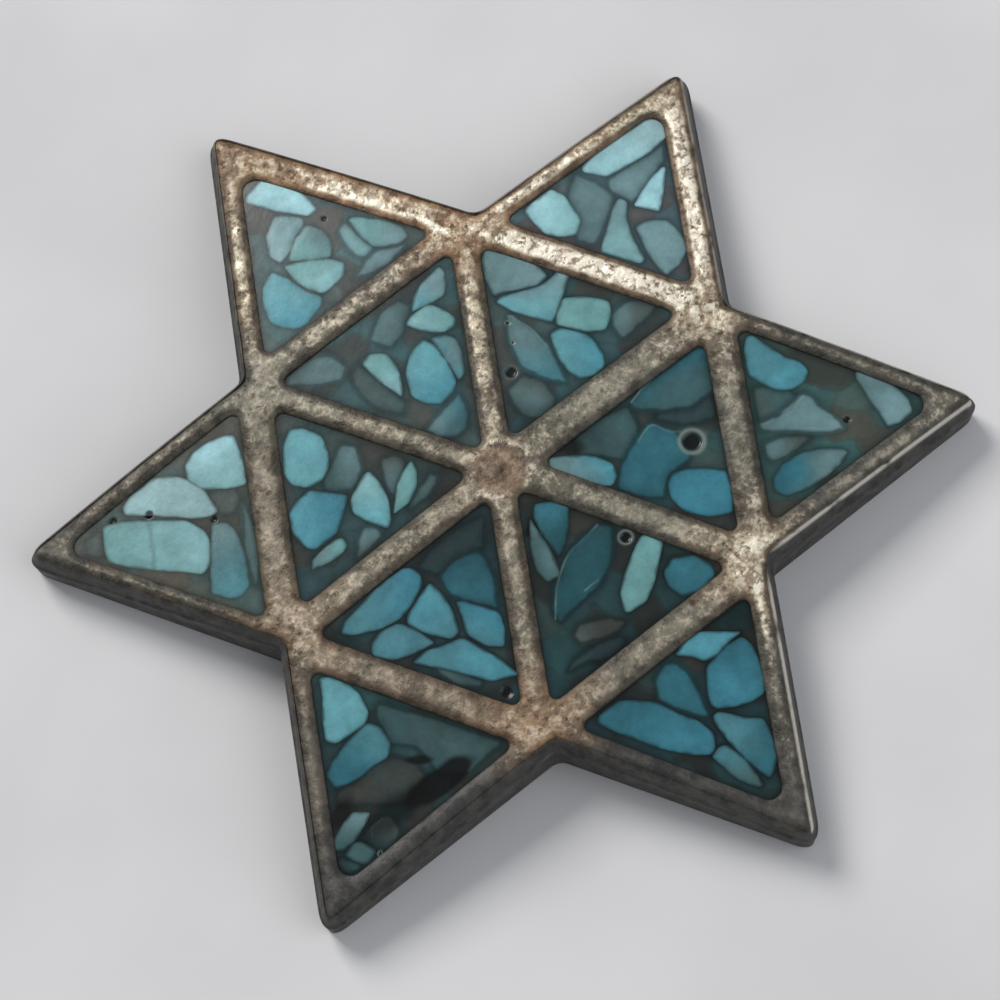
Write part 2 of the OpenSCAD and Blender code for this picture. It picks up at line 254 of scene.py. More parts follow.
def neighbour(k):
    """The next point clockwise."""
    return k % POINTS + 1


def junction(k):
    """Where the bars meet between point k and the next point clockwise."""
    return CELL_SIDE * heading(point_angle(k) - FOLD / 2)


def bar_line(edge, outline):
    """Middle line of an edge bar, between the star's edge and the cell's wall beside it."""
    wall = (outline @ heading(edge[0])).max()
    return [edge[0], (edge[1] + wall) / 2]


def tip(k):
    """Where the middle lines of the two bars of a point cross."""
    outline = OUTLINES["point", k]
    return crossing(bar_line(RIGHT[k], outline), bar_line(LEFT[k], outline))


# Ends of the bars: the hub, six notches named by the point before them clockwise, and six tips
PLACES = {"hub": np.zeros(2)}
for k in NUMBERS:
    PLACES[f"notch_{k}"] = junction(k)
    PLACES[f"tip_{k}"] = tip(k)

# Finish at those places: how brightly the crest is worn, how coppery it is, and how dark and smooth
#            worn  copper dark
FINISH = {
    "hub":     (0.55, 0.20, 0.00), "notch_1": (1.05, 0.30, 0.00), "notch_2": (1.22, 0.45, 0.00),
    "notch_3": (0.44, 0.80, 0.00), "notch_4": (0.45, 0.50, 0.05), "notch_5": (0.24, 0.00, 0.05),
    "notch_6": (0.98, 1.00, 0.00), "tip_1": (0.95, 0.35, 0.00), "tip_2": (0.45, 0.00, 0.35),
    "tip_3":   (0.05, 0.00, 0.75), "tip_4": (0.00, 0.00, 1.00), "tip_5": (0.20, 0.00, 0.50),
    "tip_6":   (0.55, 0.70, 0.05)}

# Finish of each bar's middle third
#    from       to         worn  copper dark
BARS = [
    ("tip_1", "notch_1", 1.52, 0.35, 0.00), ("tip_1", "notch_6", 1.20, 0.50, 0.00),
    ("notch_6", "notch_1", 1.50, 0.40, 0.00), ("tip_2", "notch_1", 0.30, 0.00, 0.35),
    ("tip_2", "notch_2", 0.40, 0.00, 0.50), ("notch_1", "notch_2", 0.24, 0.00, 0.10),
    ("tip_3", "notch_2", 0.42, 0.05, 0.45), ("tip_3", "notch_3", 0.00, 0.00, 1.00),
    ("notch_2", "notch_3", 0.24, 0.05, 0.10), ("tip_4", "notch_3", 0.00, 0.00, 1.00),
    ("tip_4", "notch_4", 0.15, 0.15, 0.55), ("notch_3", "notch_4", 0.15, 0.30, 0.20),
    ("tip_5", "notch_4", 0.40, 0.05, 0.20), ("tip_5", "notch_5", 0.38, 0.05, 0.15),
    ("notch_4", "notch_5", 0.15, 0.15, 0.10), ("tip_6", "notch_5", 1.00, 0.25, 0.05),
    ("tip_6", "notch_6", 1.15, 0.85, 0.00), ("notch_5", "notch_6", 0.68, 0.05, 0.00),
    ("hub", "notch_1", 0.26, 0.00, 0.05), ("hub", "notch_2", 0.26, 0.00, 0.05),
    ("hub", "notch_3", 0.38, 0.10, 0.00), ("hub", "notch_4", 0.42, 0.10, 0.00),
    ("hub", "notch_5", 0.46, 0.05, 0.00), ("hub", "notch_6", 0.90, 0.05, 0.00)]

# Shares of a bar between which its values run, and how far from its line they reach
MIDDLE_THIRD = [0, 0.34, 0.66, 1]
BAR_REACH = 0.9

# Cream streaks beside a bar's middle line: start and end as shares of the bar, how far to its left, strength
#    from       to         start end   left   strength
STREAKS = [
    ("tip_6", "notch_6", 0.35, 1.05, -0.38, 0.75), ("notch_6", "notch_1", -0.05, 1.0, 0.15, 0.35),
    ("tip_1", "notch_6", 0.55, 1.0, 0.20, 0.40), ("tip_3", "notch_2", 0.45, 1.0, 0.10, 0.35)]

# Half the width of a streak, and the share of the bar over which its end fades
STREAK_W = 0.28
STREAK_FADE = 0.15

# Brightness of the thin worn line along the star's edge on each side of a point
EDGE_LINES = {1: (0.5, 0.5), 2: (0.95, 0.5), 3: (0.15, 0.85), 4: (0.2, 0.1), 5: (0.3, 0.15), 6: (0.2, 0.3)}

# How far inside the star's edge that line runs, and half its width
EDGE_LINE_IN = 0.08
EDGE_LINE_W = 0.10


def bar_finish(plan):
    """Worn, copper and dark at each plan point. A bar's values run straight from its end to those of its
    middle part and on to its other end, and all bars are weighted by nearness to their lines."""
    total, sums = 1e-9, np.zeros(3)
    for start, end, *middle in BARS:
        share, off = beside(plan, PLACES[start], PLACES[end])
        weight = (bell(off, BAR_REACH) + 1e-6)[..., None]
        run = np.array([FINISH[start], middle, middle, FINISH[end]])
        values = np.stack([np.interp(share, MIDDLE_THIRD, run[:, i]) for i in range(3)], -1)
        total, sums = total + weight, sums + weight * values
    return np.moveaxis(sums / total, -1, 0)


def streaks(plan):
    """Wear added by the streaks: a bell beside each bar's middle line, ragged and fading at its ends."""
    added = 0
    for start, end, low, high, left, strength in STREAKS:
        a, b = PLACES[start], PLACES[end]
        length = np.linalg.norm(b - a)
        forward = (b - a) / length
        share = (plan - a) @ forward / length
        off = (plan - a) @ np.array([-forward[1], forward[0]]) - left
        ends = smooth(low, low + STREAK_FADE, share) * smooth(high, high - STREAK_FADE, share)
        added = added + strength * ends * bell(off, STREAK_W)
    return added * (0.5 + grains(plan, 0.8, seed=17))


def edge_line(plan):
    """Brightness of the worn line: a bell over the distance inside each of the star's edges, broken up."""
    line = 0
    for k, sides in EDGE_LINES.items():
        near = smooth(0.50, 0.58, plan @ heading(point_angle(k)) / POINT_REACH)
        for edge, strength in zip((RIGHT[k], LEFT[k]), sides):
            inside = edge[1] - plan @ heading(edge[0])
            line = line + strength * near * bell(inside - EDGE_LINE_IN, EDGE_LINE_W)
    return line * smooth(0.05, 0.45, grains(plan, 1.1, seed=15))


# Height of the face over its plan

# Width and fall of the bars' rounded edges, half the width of a bar, and softness of the cells' corners
EDGE_R = 0.62
EDGE_FALL = 0.28
HALF_BAR = 0.7
CELL_SOFT = 0.04

# The sunk hub, how far its border reaches out and in and how ragged it is, and the worn brim round it
HUB_R = 1.45
HUB_OUT = 0.12
HUB_IN = 0.25
HUB_RAGGED = 0.25
HUB_SINK = 0.06
BRIM_OUT = 0.1
BRIM_W = 0.22

# Heights of the casting's lumps and grit, depth of its pits, and how far under the dome its skin lies
LUMP_H = 0.055
GRIT_H = 0.04
PIT_DEPTH = 0.07
SKIN_DROP = 0.04


def star_inside(plan):
    """Distance inside the star's edge on the face: the deepest of its points, each between two edges."""
    depth = []
    for k in NUMBERS:
        right = RIGHT[k][1] - plan @ heading(RIGHT[k][0])
        left = LEFT[k][1] - plan @ heading(LEFT[k][0])
        foot = 2 * (plan @ heading(point_angle(k)))
        depth.append(np.minimum(np.minimum(right, left), foot))
    return np.max(depth, axis=0)


def to_edge(plan):
    """Distance on the face from the nearest edge, a cell's or the star's, never under zero."""
    cells = np.min([beyond(plan, outline, CELL_SOFT) for outline in OUTLINES.values()], axis=0)
    return np.maximum(np.minimum(cells, star_inside(plan)), 0)


def crown(inside):
    """1 on the middle of a bar and 0 at its edges: a quarter circle over EDGE_R."""
    return np.sqrt(1 - (1 - np.clip(inside / EDGE_R, 0, 1)) ** 2)


def casting(plan, worn, dark):
    """Relief of the rough casting: lumps, and pits where it is worn, calmer where it is dark and smooth."""
    rough = 1 - 0.75 * np.clip(dark, 0, 1)
    lumps = LUMP_H * (grains(plan, 1.3, seed=3) - 0.5) + GRIT_H * (grain(plan, 0.42, seed=9) - 0.5)
    pits = PIT_DEPTH * smooth(0.62, 0.80, grain(plan, 0.55, seed=21)) * (0.35 + 0.65 * worn)
    return rough * (lumps - pits)


def face_height(plan):
    """Height of the face, from dome, rounded bars, sunk hub and the casting's relief, and its values."""
    worn, copper, dark = bar_finish(plan)
    worn = worn + streaks(plan)
    inside = to_edge(plan)
    rise = crown(inside)
    out = np.linalg.norm(plan, axis=-1) + HUB_RAGGED * (grain(plan, 0.8, seed=5) - 0.5)
    hub = smooth(HUB_R + HUB_OUT, HUB_R - HUB_IN, out)
    brim = bell(out - HUB_R - BRIM_OUT, BRIM_W)
    skin = casting(plan, worn, dark) * rise * (1 - 0.7 * hub)
    z = dome(plan) - EDGE_FALL * (1 - rise) - HUB_SINK * hub + skin - SKIN_DROP
    return z, {
        "crest": inside / HALF_BAR * (1 - 0.35 * hub), "worn": worn * (1 - 0.9 * hub) + 0.35 * brim,
        "copper": np.maximum(copper, 0.80 * hub), "dark": np.maximum(dark, 0.45 * hub),
        "line": edge_line(plan)}


# Meshes

# Points that are nearer than WELD become one, and edges that turn more than SHARP_ANGLE degrees stay sharp
WELD = 0.0005
SHARP_ANGLE = 60


def raised(plan, z):
    """Points of the plan with their heights."""
    return np.concatenate([plan, z[..., None]], -1)


def grid(points, closed=True):
    """Quads of a grid of points [row, column, xyz]; a closed grid joins its last column to its first."""
    rows, columns = points.shape[:2]
    index = np.arange(rows * columns).reshape(rows, columns)
    here = index if closed else index[:, :-1]
    across = np.roll(index, -1, 1) if closed else index[:, 1:]
    quads = np.stack([here[:-1], across[:-1], across[1:], here[1:]], -1)
    return points.reshape(-1, 3), quads.reshape(-1, 4)


def shown(name, data):
    """A new object of the scene that shows the data."""
    made = bpy.data.objects.new(name, data)
    bpy.context.scene.collection.objects.link(made)
    return made


def piece(name, sheets, node, material):
    """One closed piece from sheets (points, quads, {attribute: values}): joined, welded, faces outwards."""
    counts = np.cumsum([0] + [len(points) for points, _, _ in sheets])
    points = np.concatenate([s[0] for s in sheets]) * MM
    quads = np.concatenate([s[1] + start for s, start in zip(sheets, counts)])
    mesh = bpy.data.meshes.new(name)
    mesh.from_pydata(points, [], quads.tolist())
    for key in sheets[0][2]:
        values = np.concatenate([np.asarray(s[2][key], float).reshape(len(s[0]), -1) for s in sheets])
        if values.shape[1] == 1:
            mesh.attributes.new(key, "FLOAT", "POINT").data.foreach_set("value", values.reshape(-1))
        else:
            colours = np.c_[values, np.ones(len(values))]
            mesh.attributes.new(key, "FLOAT_COLOR", "POINT").data.foreach_set("color", colours.reshape(-1))
    work = bmesh.new()
    work.from_mesh(mesh)
    bmesh.ops.remove_doubles(work, verts=work.verts, dist=WELD * MM)
    bmesh.ops.dissolve_degenerate(work, edges=work.edges, dist=WELD / 5 * MM)
    bmesh.ops.recalc_face_normals(work, faces=work.faces)
    work.to_mesh(mesh)
    work.free()
    mesh.polygons.foreach_set("use_smooth", np.ones(len(mesh.polygons), bool))
    mesh.set_sharp_from_angle(angle=np.radians(SHARP_ANGLE))
    mesh.materials.append(material)
    made = shown(name, mesh)
    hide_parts(node)
    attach(made, "root")


# Shaders

class Value:
    """A shader value on a socket. Arithmetic on it adds Math nodes to its tree."""

    def __init__(self, shader, socket):
        self.shader, self.socket = shader, socket

    def math(self, operation, a, b):
        """A Math node on two values or numbers."""
        return self.shader.node("Math", {"operation": operation}, {0: a, 1: b})

    def __add__(self, other):
        return self.math("ADD", self, other)

    def __sub__(self, other):
        return self.math("SUBTRACT", self, other)

    def __mul__(self, other):
        return self.math("MULTIPLY", self, other)

    def __rsub__(self, other):
        return self.math("SUBTRACT", other, self)

    __radd__ = __add__
    __rmul__ = __mul__


class Shader:
    """A material and its node tree."""

    def __init__(self, name):
        self.material = bpy.data.materials.new(name)
        self.material.use_nodes = True
        self.tree = self.material.node_tree
        self.surface = self.tree.nodes["Principled BSDF"]

    def node(self, kind, settings=None, inputs=None, output=0):
        """Any node: its settings first, then its inputs as values or links. Gives one output's value."""
        made = self.tree.nodes.new("ShaderNode" + kind)
        for key, value in (settings or {}).items():
            setattr(made, key, value)
        self.feed(made, inputs or {})
        return Value(self, made.outputs[output])

    def feed(self, node, inputs):
        """Links to a node's sockets where an input is a shader value, and plain values elsewhere."""
        for key, value in inputs.items():
            if isinstance(value, Value):
                self.tree.links.new(value.socket, node.inputs[key])
            else:
                node.inputs[key].default_value = value

    def place(self):
        """The point's place in its object's own coordinates."""
        return self.node("TexCoord", output="Object")

    def attribute(self, name, output="Fac"):
        """A value or colour that the mesh carries at its vertices."""
        return self.node("Attribute", {"attribute_name": name}, output=output)

    def noise(self, size, detail, roughness, seed):
        """Noise from 0 to 1 with lumps of about size millimetres."""
        return self.node("TexNoise", {"noise_dimensions": "4D"}, {
            "Vector": self.place(), "W": seed, "Scale": 1 / (size * MM),
            "Detail": detail, "Roughness": roughness})

    def step(self, value, low, high, to_low=0.0, to_high=1.0):
        """S-curve from to_low to to_high as the value goes from low to high."""
        return self.node("MapRange", {"interpolation_type": "SMOOTHSTEP"}, {
            0: value, 1: low, 2: high, 3: to_low, 4: to_high})

    def mix(self, factor, a, b):
        """Colour a where the factor is 0 and b where it is 1."""
        return self.node("Mix", {"data_type": "RGBA"}, {0: factor, 6: a, 7: b}, output=2)

    def apart(self, value, level):
        """How far a value is from a level, either way."""
        return self.node("Math", {"operation": "ABSOLUTE"}, {0: value - level})

    def bump(self, height, distance):
        """Normal of a height from 0 to 1 that stands for distance millimetres."""
        return self.node("Bump", None, {"Height": height, "Distance": distance * MM, "Strength": 1.0})

    def finish(self, inputs):
        """The material, once its surface has its inputs."""
        self.feed(self.surface, inputs)
        return self.material


def linear(red, green, blue):
    """A colour given as it looks on a screen, from 0 to 255, as the shader's linear one, opaque."""
    share = np.array([red, green, blue]) / 255
    return (*np.where(share <= 0.04045, share / 12.92, ((share + 0.055) / 1.055) ** 2.4).tolist(), 1.0)


# Tones as they look on a screen: the darker and lighter of each ground of the casting, and its marks. The
# flank ground is painted shade on the sides of the rounded bars
GROUNDS = {
    "shaded_flank": [(52, 51, 44), (88, 85, 74)], "body": [(102, 99, 86), (144, 139, 123)],
    "copper": [(124, 94, 68), (178, 140, 104)], "grey": [(44, 44, 44), (76, 75, 73)]}
MARKS = {
    "speck": (200, 191, 172), "curl": (212, 201, 182), "worn": (212, 200, 174), "bright": (255, 247, 228),
    "swirl": (122, 96, 72), "pit": (96, 80, 62), "dent": (70, 62, 52), "line": (206, 202, 192)}


def ground(name):
    """The two shader tones of a ground."""
    return [linear(*tone) for tone in GROUNDS[name]]


def mark(name):
    """The shader tone of a mark."""
    return linear(*MARKS[name])


def star_metal():
    """Antiqued casting: flanks darkened as painted shade of the rounded bars, and a mottled crest with
    specks, pale curls and pits. Where it is worn, a pale ground with brown swirls grows over it. Copper, dark
    smooth grey and the edge line go by their attributes."""
    s = Shader("star_metal")
    crest, worn, copper, dark, line = (s.attribute(n) for n in ("crest", "worn", "copper", "dark", "line"))
    broad = s.noise(2.4, 3.0, 0.6, seed=1.0)
    middle = s.noise(0.75, 3.0, 0.6, seed=2.0)
    fine = s.noise(0.30, 2.0, 0.6, seed=3.0)
    patch = s.noise(0.85, 3.0, 0.7, seed=7.0)
    hole = s.noise(0.50, 2.0, 0.6, seed=8.0)
    curl = s.step(s.apart(s.noise(0.65, 1.0, 0.5, seed=4.0), 0.5), 0.085, 0.015) * s.step(middle, 0.40, 0.62)
    rough = s.step(dark, 0.2, 0.8, 1.0, 0.12)
    # Painted shade: the sides of the rounded bars take the darker flank tone, the crest the lighter body
    shaded_flank = s.mix(s.step(middle, 0.35, 0.65), *ground("shaded_flank"))
    body = s.mix(s.step(broad + 0.6 * middle, 0.60, 1.00), *ground("body"))
    base = s.mix(s.step(crest + 0.40 * middle, 0.55, 1.20), shaded_flank, body)
    copper_at = copper * s.step(broad, 0.25, 0.50) * s.step(crest, 0.0, 0.5, 0.5, 1.0)
    base = s.mix(copper_at, base, s.mix(s.step(middle, 0.35, 0.65), *ground("copper")))
    grey = s.mix(s.step(middle, 0.3, 0.7), *ground("grey"))
    base = s.mix(dark, base, grey)
    top = s.step(crest + 0.4 * middle, 0.58, 1.02)
    speck = s.step(fine + 0.4 * middle, 0.72, 0.88) * top * rough
    base = s.mix(speck * s.step(worn, 0.05, 0.8, 0.25, 0.8), base, mark("speck"))
    base = s.mix(curl * top * rough * s.step(worn, 0.10, 0.80, 0.20, 0.75), base, mark("curl"))
    height = worn * (1.0 - copper * 0.25) + 1.1 * patch + 0.5 * fine
    base = s.mix(s.step(height, 1.52, 1.84) * top * 0.85, base, mark("worn"))
    base = s.mix(s.step(height, 1.74, 1.98) * top * 0.95, base, mark("bright"))
    swirl = s.step(s.apart(s.noise(0.75, 2.0, 0.55, seed=5.0), 0.5), 0.085, 0.02) * s.step(patch, 0.64, 0.46)
    base = s.mix(swirl * top * rough * s.step(worn, 0.5, 1.3, 0.0, 0.75), base, mark("swirl"))
    pits = s.step(hole + 0.40 * fine, 0.62, 0.50) * rough
    base = s.mix(pits * s.step(worn, 0.0, 0.8, 0.35, 0.75), base, mark("pit"))
    dents = s.step(fine + 0.5 * middle, 0.68, 0.52) * rough
    base = s.mix(dents * 0.4, base, mark("dent"))
    base = s.mix(s.step(line, 0.1, 0.8), base, mark("line"))
    pale = s.step(height, 1.52, 1.95) * top
    bump = s.bump(fine * 0.6 + middle * 0.7 + pale * 0.2 - pits * 0.35 - dents * 0.2, 0.08)
    return s.finish({
        "Base Color": base, "Metallic": 0.26 + pale * 0.10, "Roughness": 0.56 - pale * 0.06 + pits * 0.2,
        "Normal": bump})


def bail_metal():
    """Dull drawn tube with brown tarnish."""
    s = Shader("bail_metal")
    broad, fine = s.noise(0.9, 3.0, 0.6, seed=5.0), s.noise(0.15, 2.0, 0.5, seed=6.0)
    base = s.mix(s.step(broad, 0.35, 0.65), linear(92, 82, 70), linear(146, 130, 106))
    base = s.mix(s.step(fine, 0.55, 0.75) * 0.5, base, linear(60, 52, 46))
    return s.finish({
        "Base Color": base, "Metallic": 0.8, "Roughness": 0.42 + fine * 0.2, "Normal": s.bump(fine, 0.02)})


# Strength of the plain reflection on resin and stone
GLOSS = 0.28


def painted(name, size, contrast, roughness, coat, depth):
    """A glossy filling whose colour is its paint attribute, mottled by noise."""
    s = Shader(name)
    mottle = s.noise(size, 3.0, 0.6, seed=7.0)
    fine = s.noise(size / 4, 2.0, 0.5, seed=8.0)
    tone = s.attribute("paint", "Color")
    shade = s.step(mottle + 0.4 * fine, 0.4, 1.0, 1 - contrast, 1 + contrast)
    colour = s.node("VectorMath", {"operation": "SCALE"}, {0: tone, "Scale": shade})
    return s.finish({
        "Base Color": colour, "Roughness": roughness + fine * 0.1, "Coat Weight": coat,
        "Specular IOR Level": GLOSS, "Normal": s.bump(mottle, depth)})


METAL = star_metal()
BAIL_METAL = bail_metal()
RESIN = painted("resin", 0.7, 0.12, 0.24, 0.06, 0.015)
STONE = painted("stone", 0.45, 0.12, 0.28, 0.05, 0.02)


# The cast star

def split(outline, corners):
    """A closed outline split at the points farthest towards each corner, SIDE_STEPS points to a side."""
    middle = outline.mean(0)
    at = [int(np.argmax((outline - middle) @ ((c - middle) / np.linalg.norm(c - middle)))) for c in corners]
    sides = []
    for start, end in zip(at, at[1:] + at[:1]):
        path = np.roll(outline, -start, 0)[:(end - start) % len(outline) + 1]
        sides.append(along(path, SIDE_STEPS + 1)[:-1])
    return np.concatenate(sides)


def straight(corners):
    """The closed outline through the corners, with SIDE_STEPS points from each to the next."""
    path = [along(np.array([a, b]), SIDE_STEPS + 1)[:-1] for a, b in zip(corners, corners[1:] + corners[:1])]
    return np.concatenate(path)


def ring_corners(kind, k):
    """Ends of the bars round a cell, anticlockwise."""
    before = (k - 2) % POINTS + 1
    far = PLACES[f"tip_{k}"] if kind == "point" else PLACES["hub"]
    ends = [PLACES[f"notch_{k}"], far, PLACES[f"notch_{before}"]]
    return ends if kind == "point" else ends[::-1]


# Rings of a pocket's floor from its middle to its wall, how far the wall's top lies under the face, and
# rings of the face from the wall to the middle of the bars
FLOOR_SHARES = [1.0, 0.5, 0.02]
LIP_DROP = 0.03
FACE_SHARES = [0.03, 0.08, 0.15, 0.24, 0.34, 0.46, 0.60, 0.74, 0.88, 1.0]


def cell_ring(kind, k):
    """Half bars round a cell: from the pocket's floor up its wall and over the face to the bars' middle."""
    corners = ring_corners(kind, k)
    inner, outer = split(OUTLINES[kind, k], corners), straight(corners)
    middle = inner.mean(0)
    floor_rings = [inner + (middle - inner) * share for share in FLOOR_SHARES]
    face_rings = [inner + (outer - inner) * share for share in FACE_SHARES]
    plan = np.stack(floor_rings + [inner] + face_rings)
    z, values = face_height(plan)
    low = len(FLOOR_SHARES)
    z[:low] = dome(plan[:low], CELL_DEPTH)
    z[low] = z[low] - LIP_DROP
    for key in ("crest", "worn", "line"):
        values[key][:low + 1] = 0
    return (*grid(raised(plan, z)), values)


def star_outline(out):
    """The star's edge moved outwards, from the first tip clockwise, as SIDE_STEPS points from each tip or
    notch to the next. Its tips and notches are rounded by quadratic curves, and each side runs from the
    middle of one to the next."""
    corners, radii = [], []
    for k in NUMBERS:
        corners += [crossing(RIGHT[k], LEFT[k], out), crossing(RIGHT[k], LEFT[neighbour(k)], out)]
        radii += [max(TIP_R + out, LEAST_R) * np.sqrt(3) * TIP_EASE, max(NOTCH_R - out, LEAST_R) / np.sqrt(3)]
    curves = corner_curves(np.array(corners), np.array(radii), 9)
    halves = [np.r_[here[4:], ahead[:5]] for here, ahead in zip(curves, np.roll(curves, -1, 0))]
    return np.concatenate([along(half, SIDE_STEPS + 1)[:-1] for half in halves])


# Side wall and back: reach beyond the face's edge, drop under the face or height over the ground, darkness.
# The darkness is painted shade on the side wall, with paler painted highlights at its top edge and on the
# ledge
SIDE = [
    (-0.10, 0.05, None, 0.6), (-0.02, 0.12, None, 0.3), (0.04, 0.24, None, 0.7), (0.11, 0.55, None, 0.9),
    (0.17, 0.80, None, 1.0), (0.19, 0.90, None, 1.0), (0.27, 0.97, None, 0.4), (0.30, 1.04, None, 0.25),
    (0.29, 1.14, None, 0.6), (0.25, 1.30, None, 0.9), (0.18, None, 0.50, 0.9), (0.13, None, 0.12, 0.8),
    (0.08, None, 0.02, 0.7), (0.00, None, 0.0, 0.7), (-0.80, None, 0.0, 0.6), (-1.50, None, 0.0, 0.6)]

# Rings of the face from the middle of the edge bars to the edge, and of the hollow from its rim inwards
EDGE_SHARES = [0.0, 0.2, 0.4, 0.58, 0.74, 0.87, 0.95]
BACK_SHARES = [1.0, 0.97, 0.85, 0.7, 0.55, 0.4, 0.25, 0.12, 0.0]
BACK_DARK = 0.5

# Height of the side wall's waves, which start below the face's rounded edge
WAVE_H = 0.05
WAVE_FROM = 0.2

# Share of the copper tone on the side wall, and how many of its rings have the worn line
SIDE_COPPER = 0.3
LINE_RINGS = 3


def band_level(ring, drop, height):
    """Heights of a ring of the side wall: level, or under the dome by drop, with waves below the edge."""
    if drop is None:
        return np.full(len(ring), height)
    wave = WAVE_H * (grains(ring, 1.8, seed=31) - 0.5)
    return dome(ring, drop) + wave * (drop > WAVE_FROM)


def star_band():
    """From the middle of the edge bars over the star's edge, down the side wall and under the back."""
    inner = straight([PLACES[f"{place}_{k}"] for k in NUMBERS for place in ("tip", "notch")])
    edge = star_outline(SIDE[0][0])
    face = [inner + (edge - inner) * share for share in EDGE_SHARES]
    side = [star_outline(out) for out, _, _, _ in SIDE]
    back = [star_outline(-BACK_WALL_W) * share for share in BACK_SHARES]
    face_z, values = face_height(np.stack(face))
    side_z = [band_level(ring, drop, height) for ring, (_, drop, height, _) in zip(side, SIDE)]
    back_z = [dome(ring, HOLLOW_DROP) for ring in back]
    copper = bar_finish(np.stack(side + back))[1]
    none = np.zeros_like(copper)
    # Painted shade on the side wall, with paler painted highlights at its top edge and on the ledge
    dark = np.array([tone for _, _, _, tone in SIDE] + [BACK_DARK] * len(back))[:, None]
    line = edge_line(np.stack(side + back))
    line[LINE_RINGS:] = 0
    rest = {"crest": none, "worn": none, "copper": copper * SIDE_COPPER, "dark": none + dark, "line": line}
    values = {key: np.concatenate([values[key], rest[key]]) for key in values}
    return (*grid(raised(np.stack(face + side + back), np.stack([*face_z, *side_z, *back_z]))), values)


star_sheets = [cell_ring(kind, k) for kind, k in CELLS] + [star_band()]
piece("star_casting", star_sheets, "star_frame", METAL)


# Stone chips and resin

# Tones of the stones, and of the rubble far down, as they look on a screen
TONES = {
    "cyan": (150, 196, 204), "aqua": (124, 168, 172), "pale": (138, 172, 176), "mist": (112, 143, 148),
    "dull": (96, 124, 127), "green": (106, 152, 153), "turquoise": (98, 154, 163), "light": (80, 140, 154),
    "teal": (76, 124, 134), "blue": (64, 121, 138), "deep": (55, 104, 116), "shade": (46, 83, 90),
    "ghost": (68, 94, 96), "grey": (80, 92, 90), "soot": (64, 67, 64), "dark": (55, 73, 76)}
RUBBLE = [(56, 62, 60), (56, 100, 108), (80, 106, 104), (84, 82, 76), (62, 112, 118)]

# What the gloss adds to a painted tone, the least that is left of it, and the gain that makes up for the rest
GLOSS_VEIL = 0.012
LEAST_TONE = 0.002
PAINT_GAIN = 1.10

# Share of the smoke's red, green and blue in the narrow gaps, whose tone also paints the shade round chips
GAP_AND_SHADE_SHARE = np.array([0.56, 0.74, 0.77])

# Colour of the smoky resin in each cell
SMOKE = {
    ("point", 1): (92, 91, 93), ("point", 2): (66, 71, 67), ("point", 3): (46, 50, 50),
    ("point", 4): (56, 60, 58), ("point", 5): (84, 81, 75), ("point", 6): (86, 87, 86),
    ("inner", 1): (66, 72, 72), ("inner", 2): (58, 62, 61), ("inner", 3): (48, 52, 51),
    ("inner", 4): (52, 56, 56), ("inner", 5): (60, 64, 63), ("inner", 6): (70, 76, 76)}

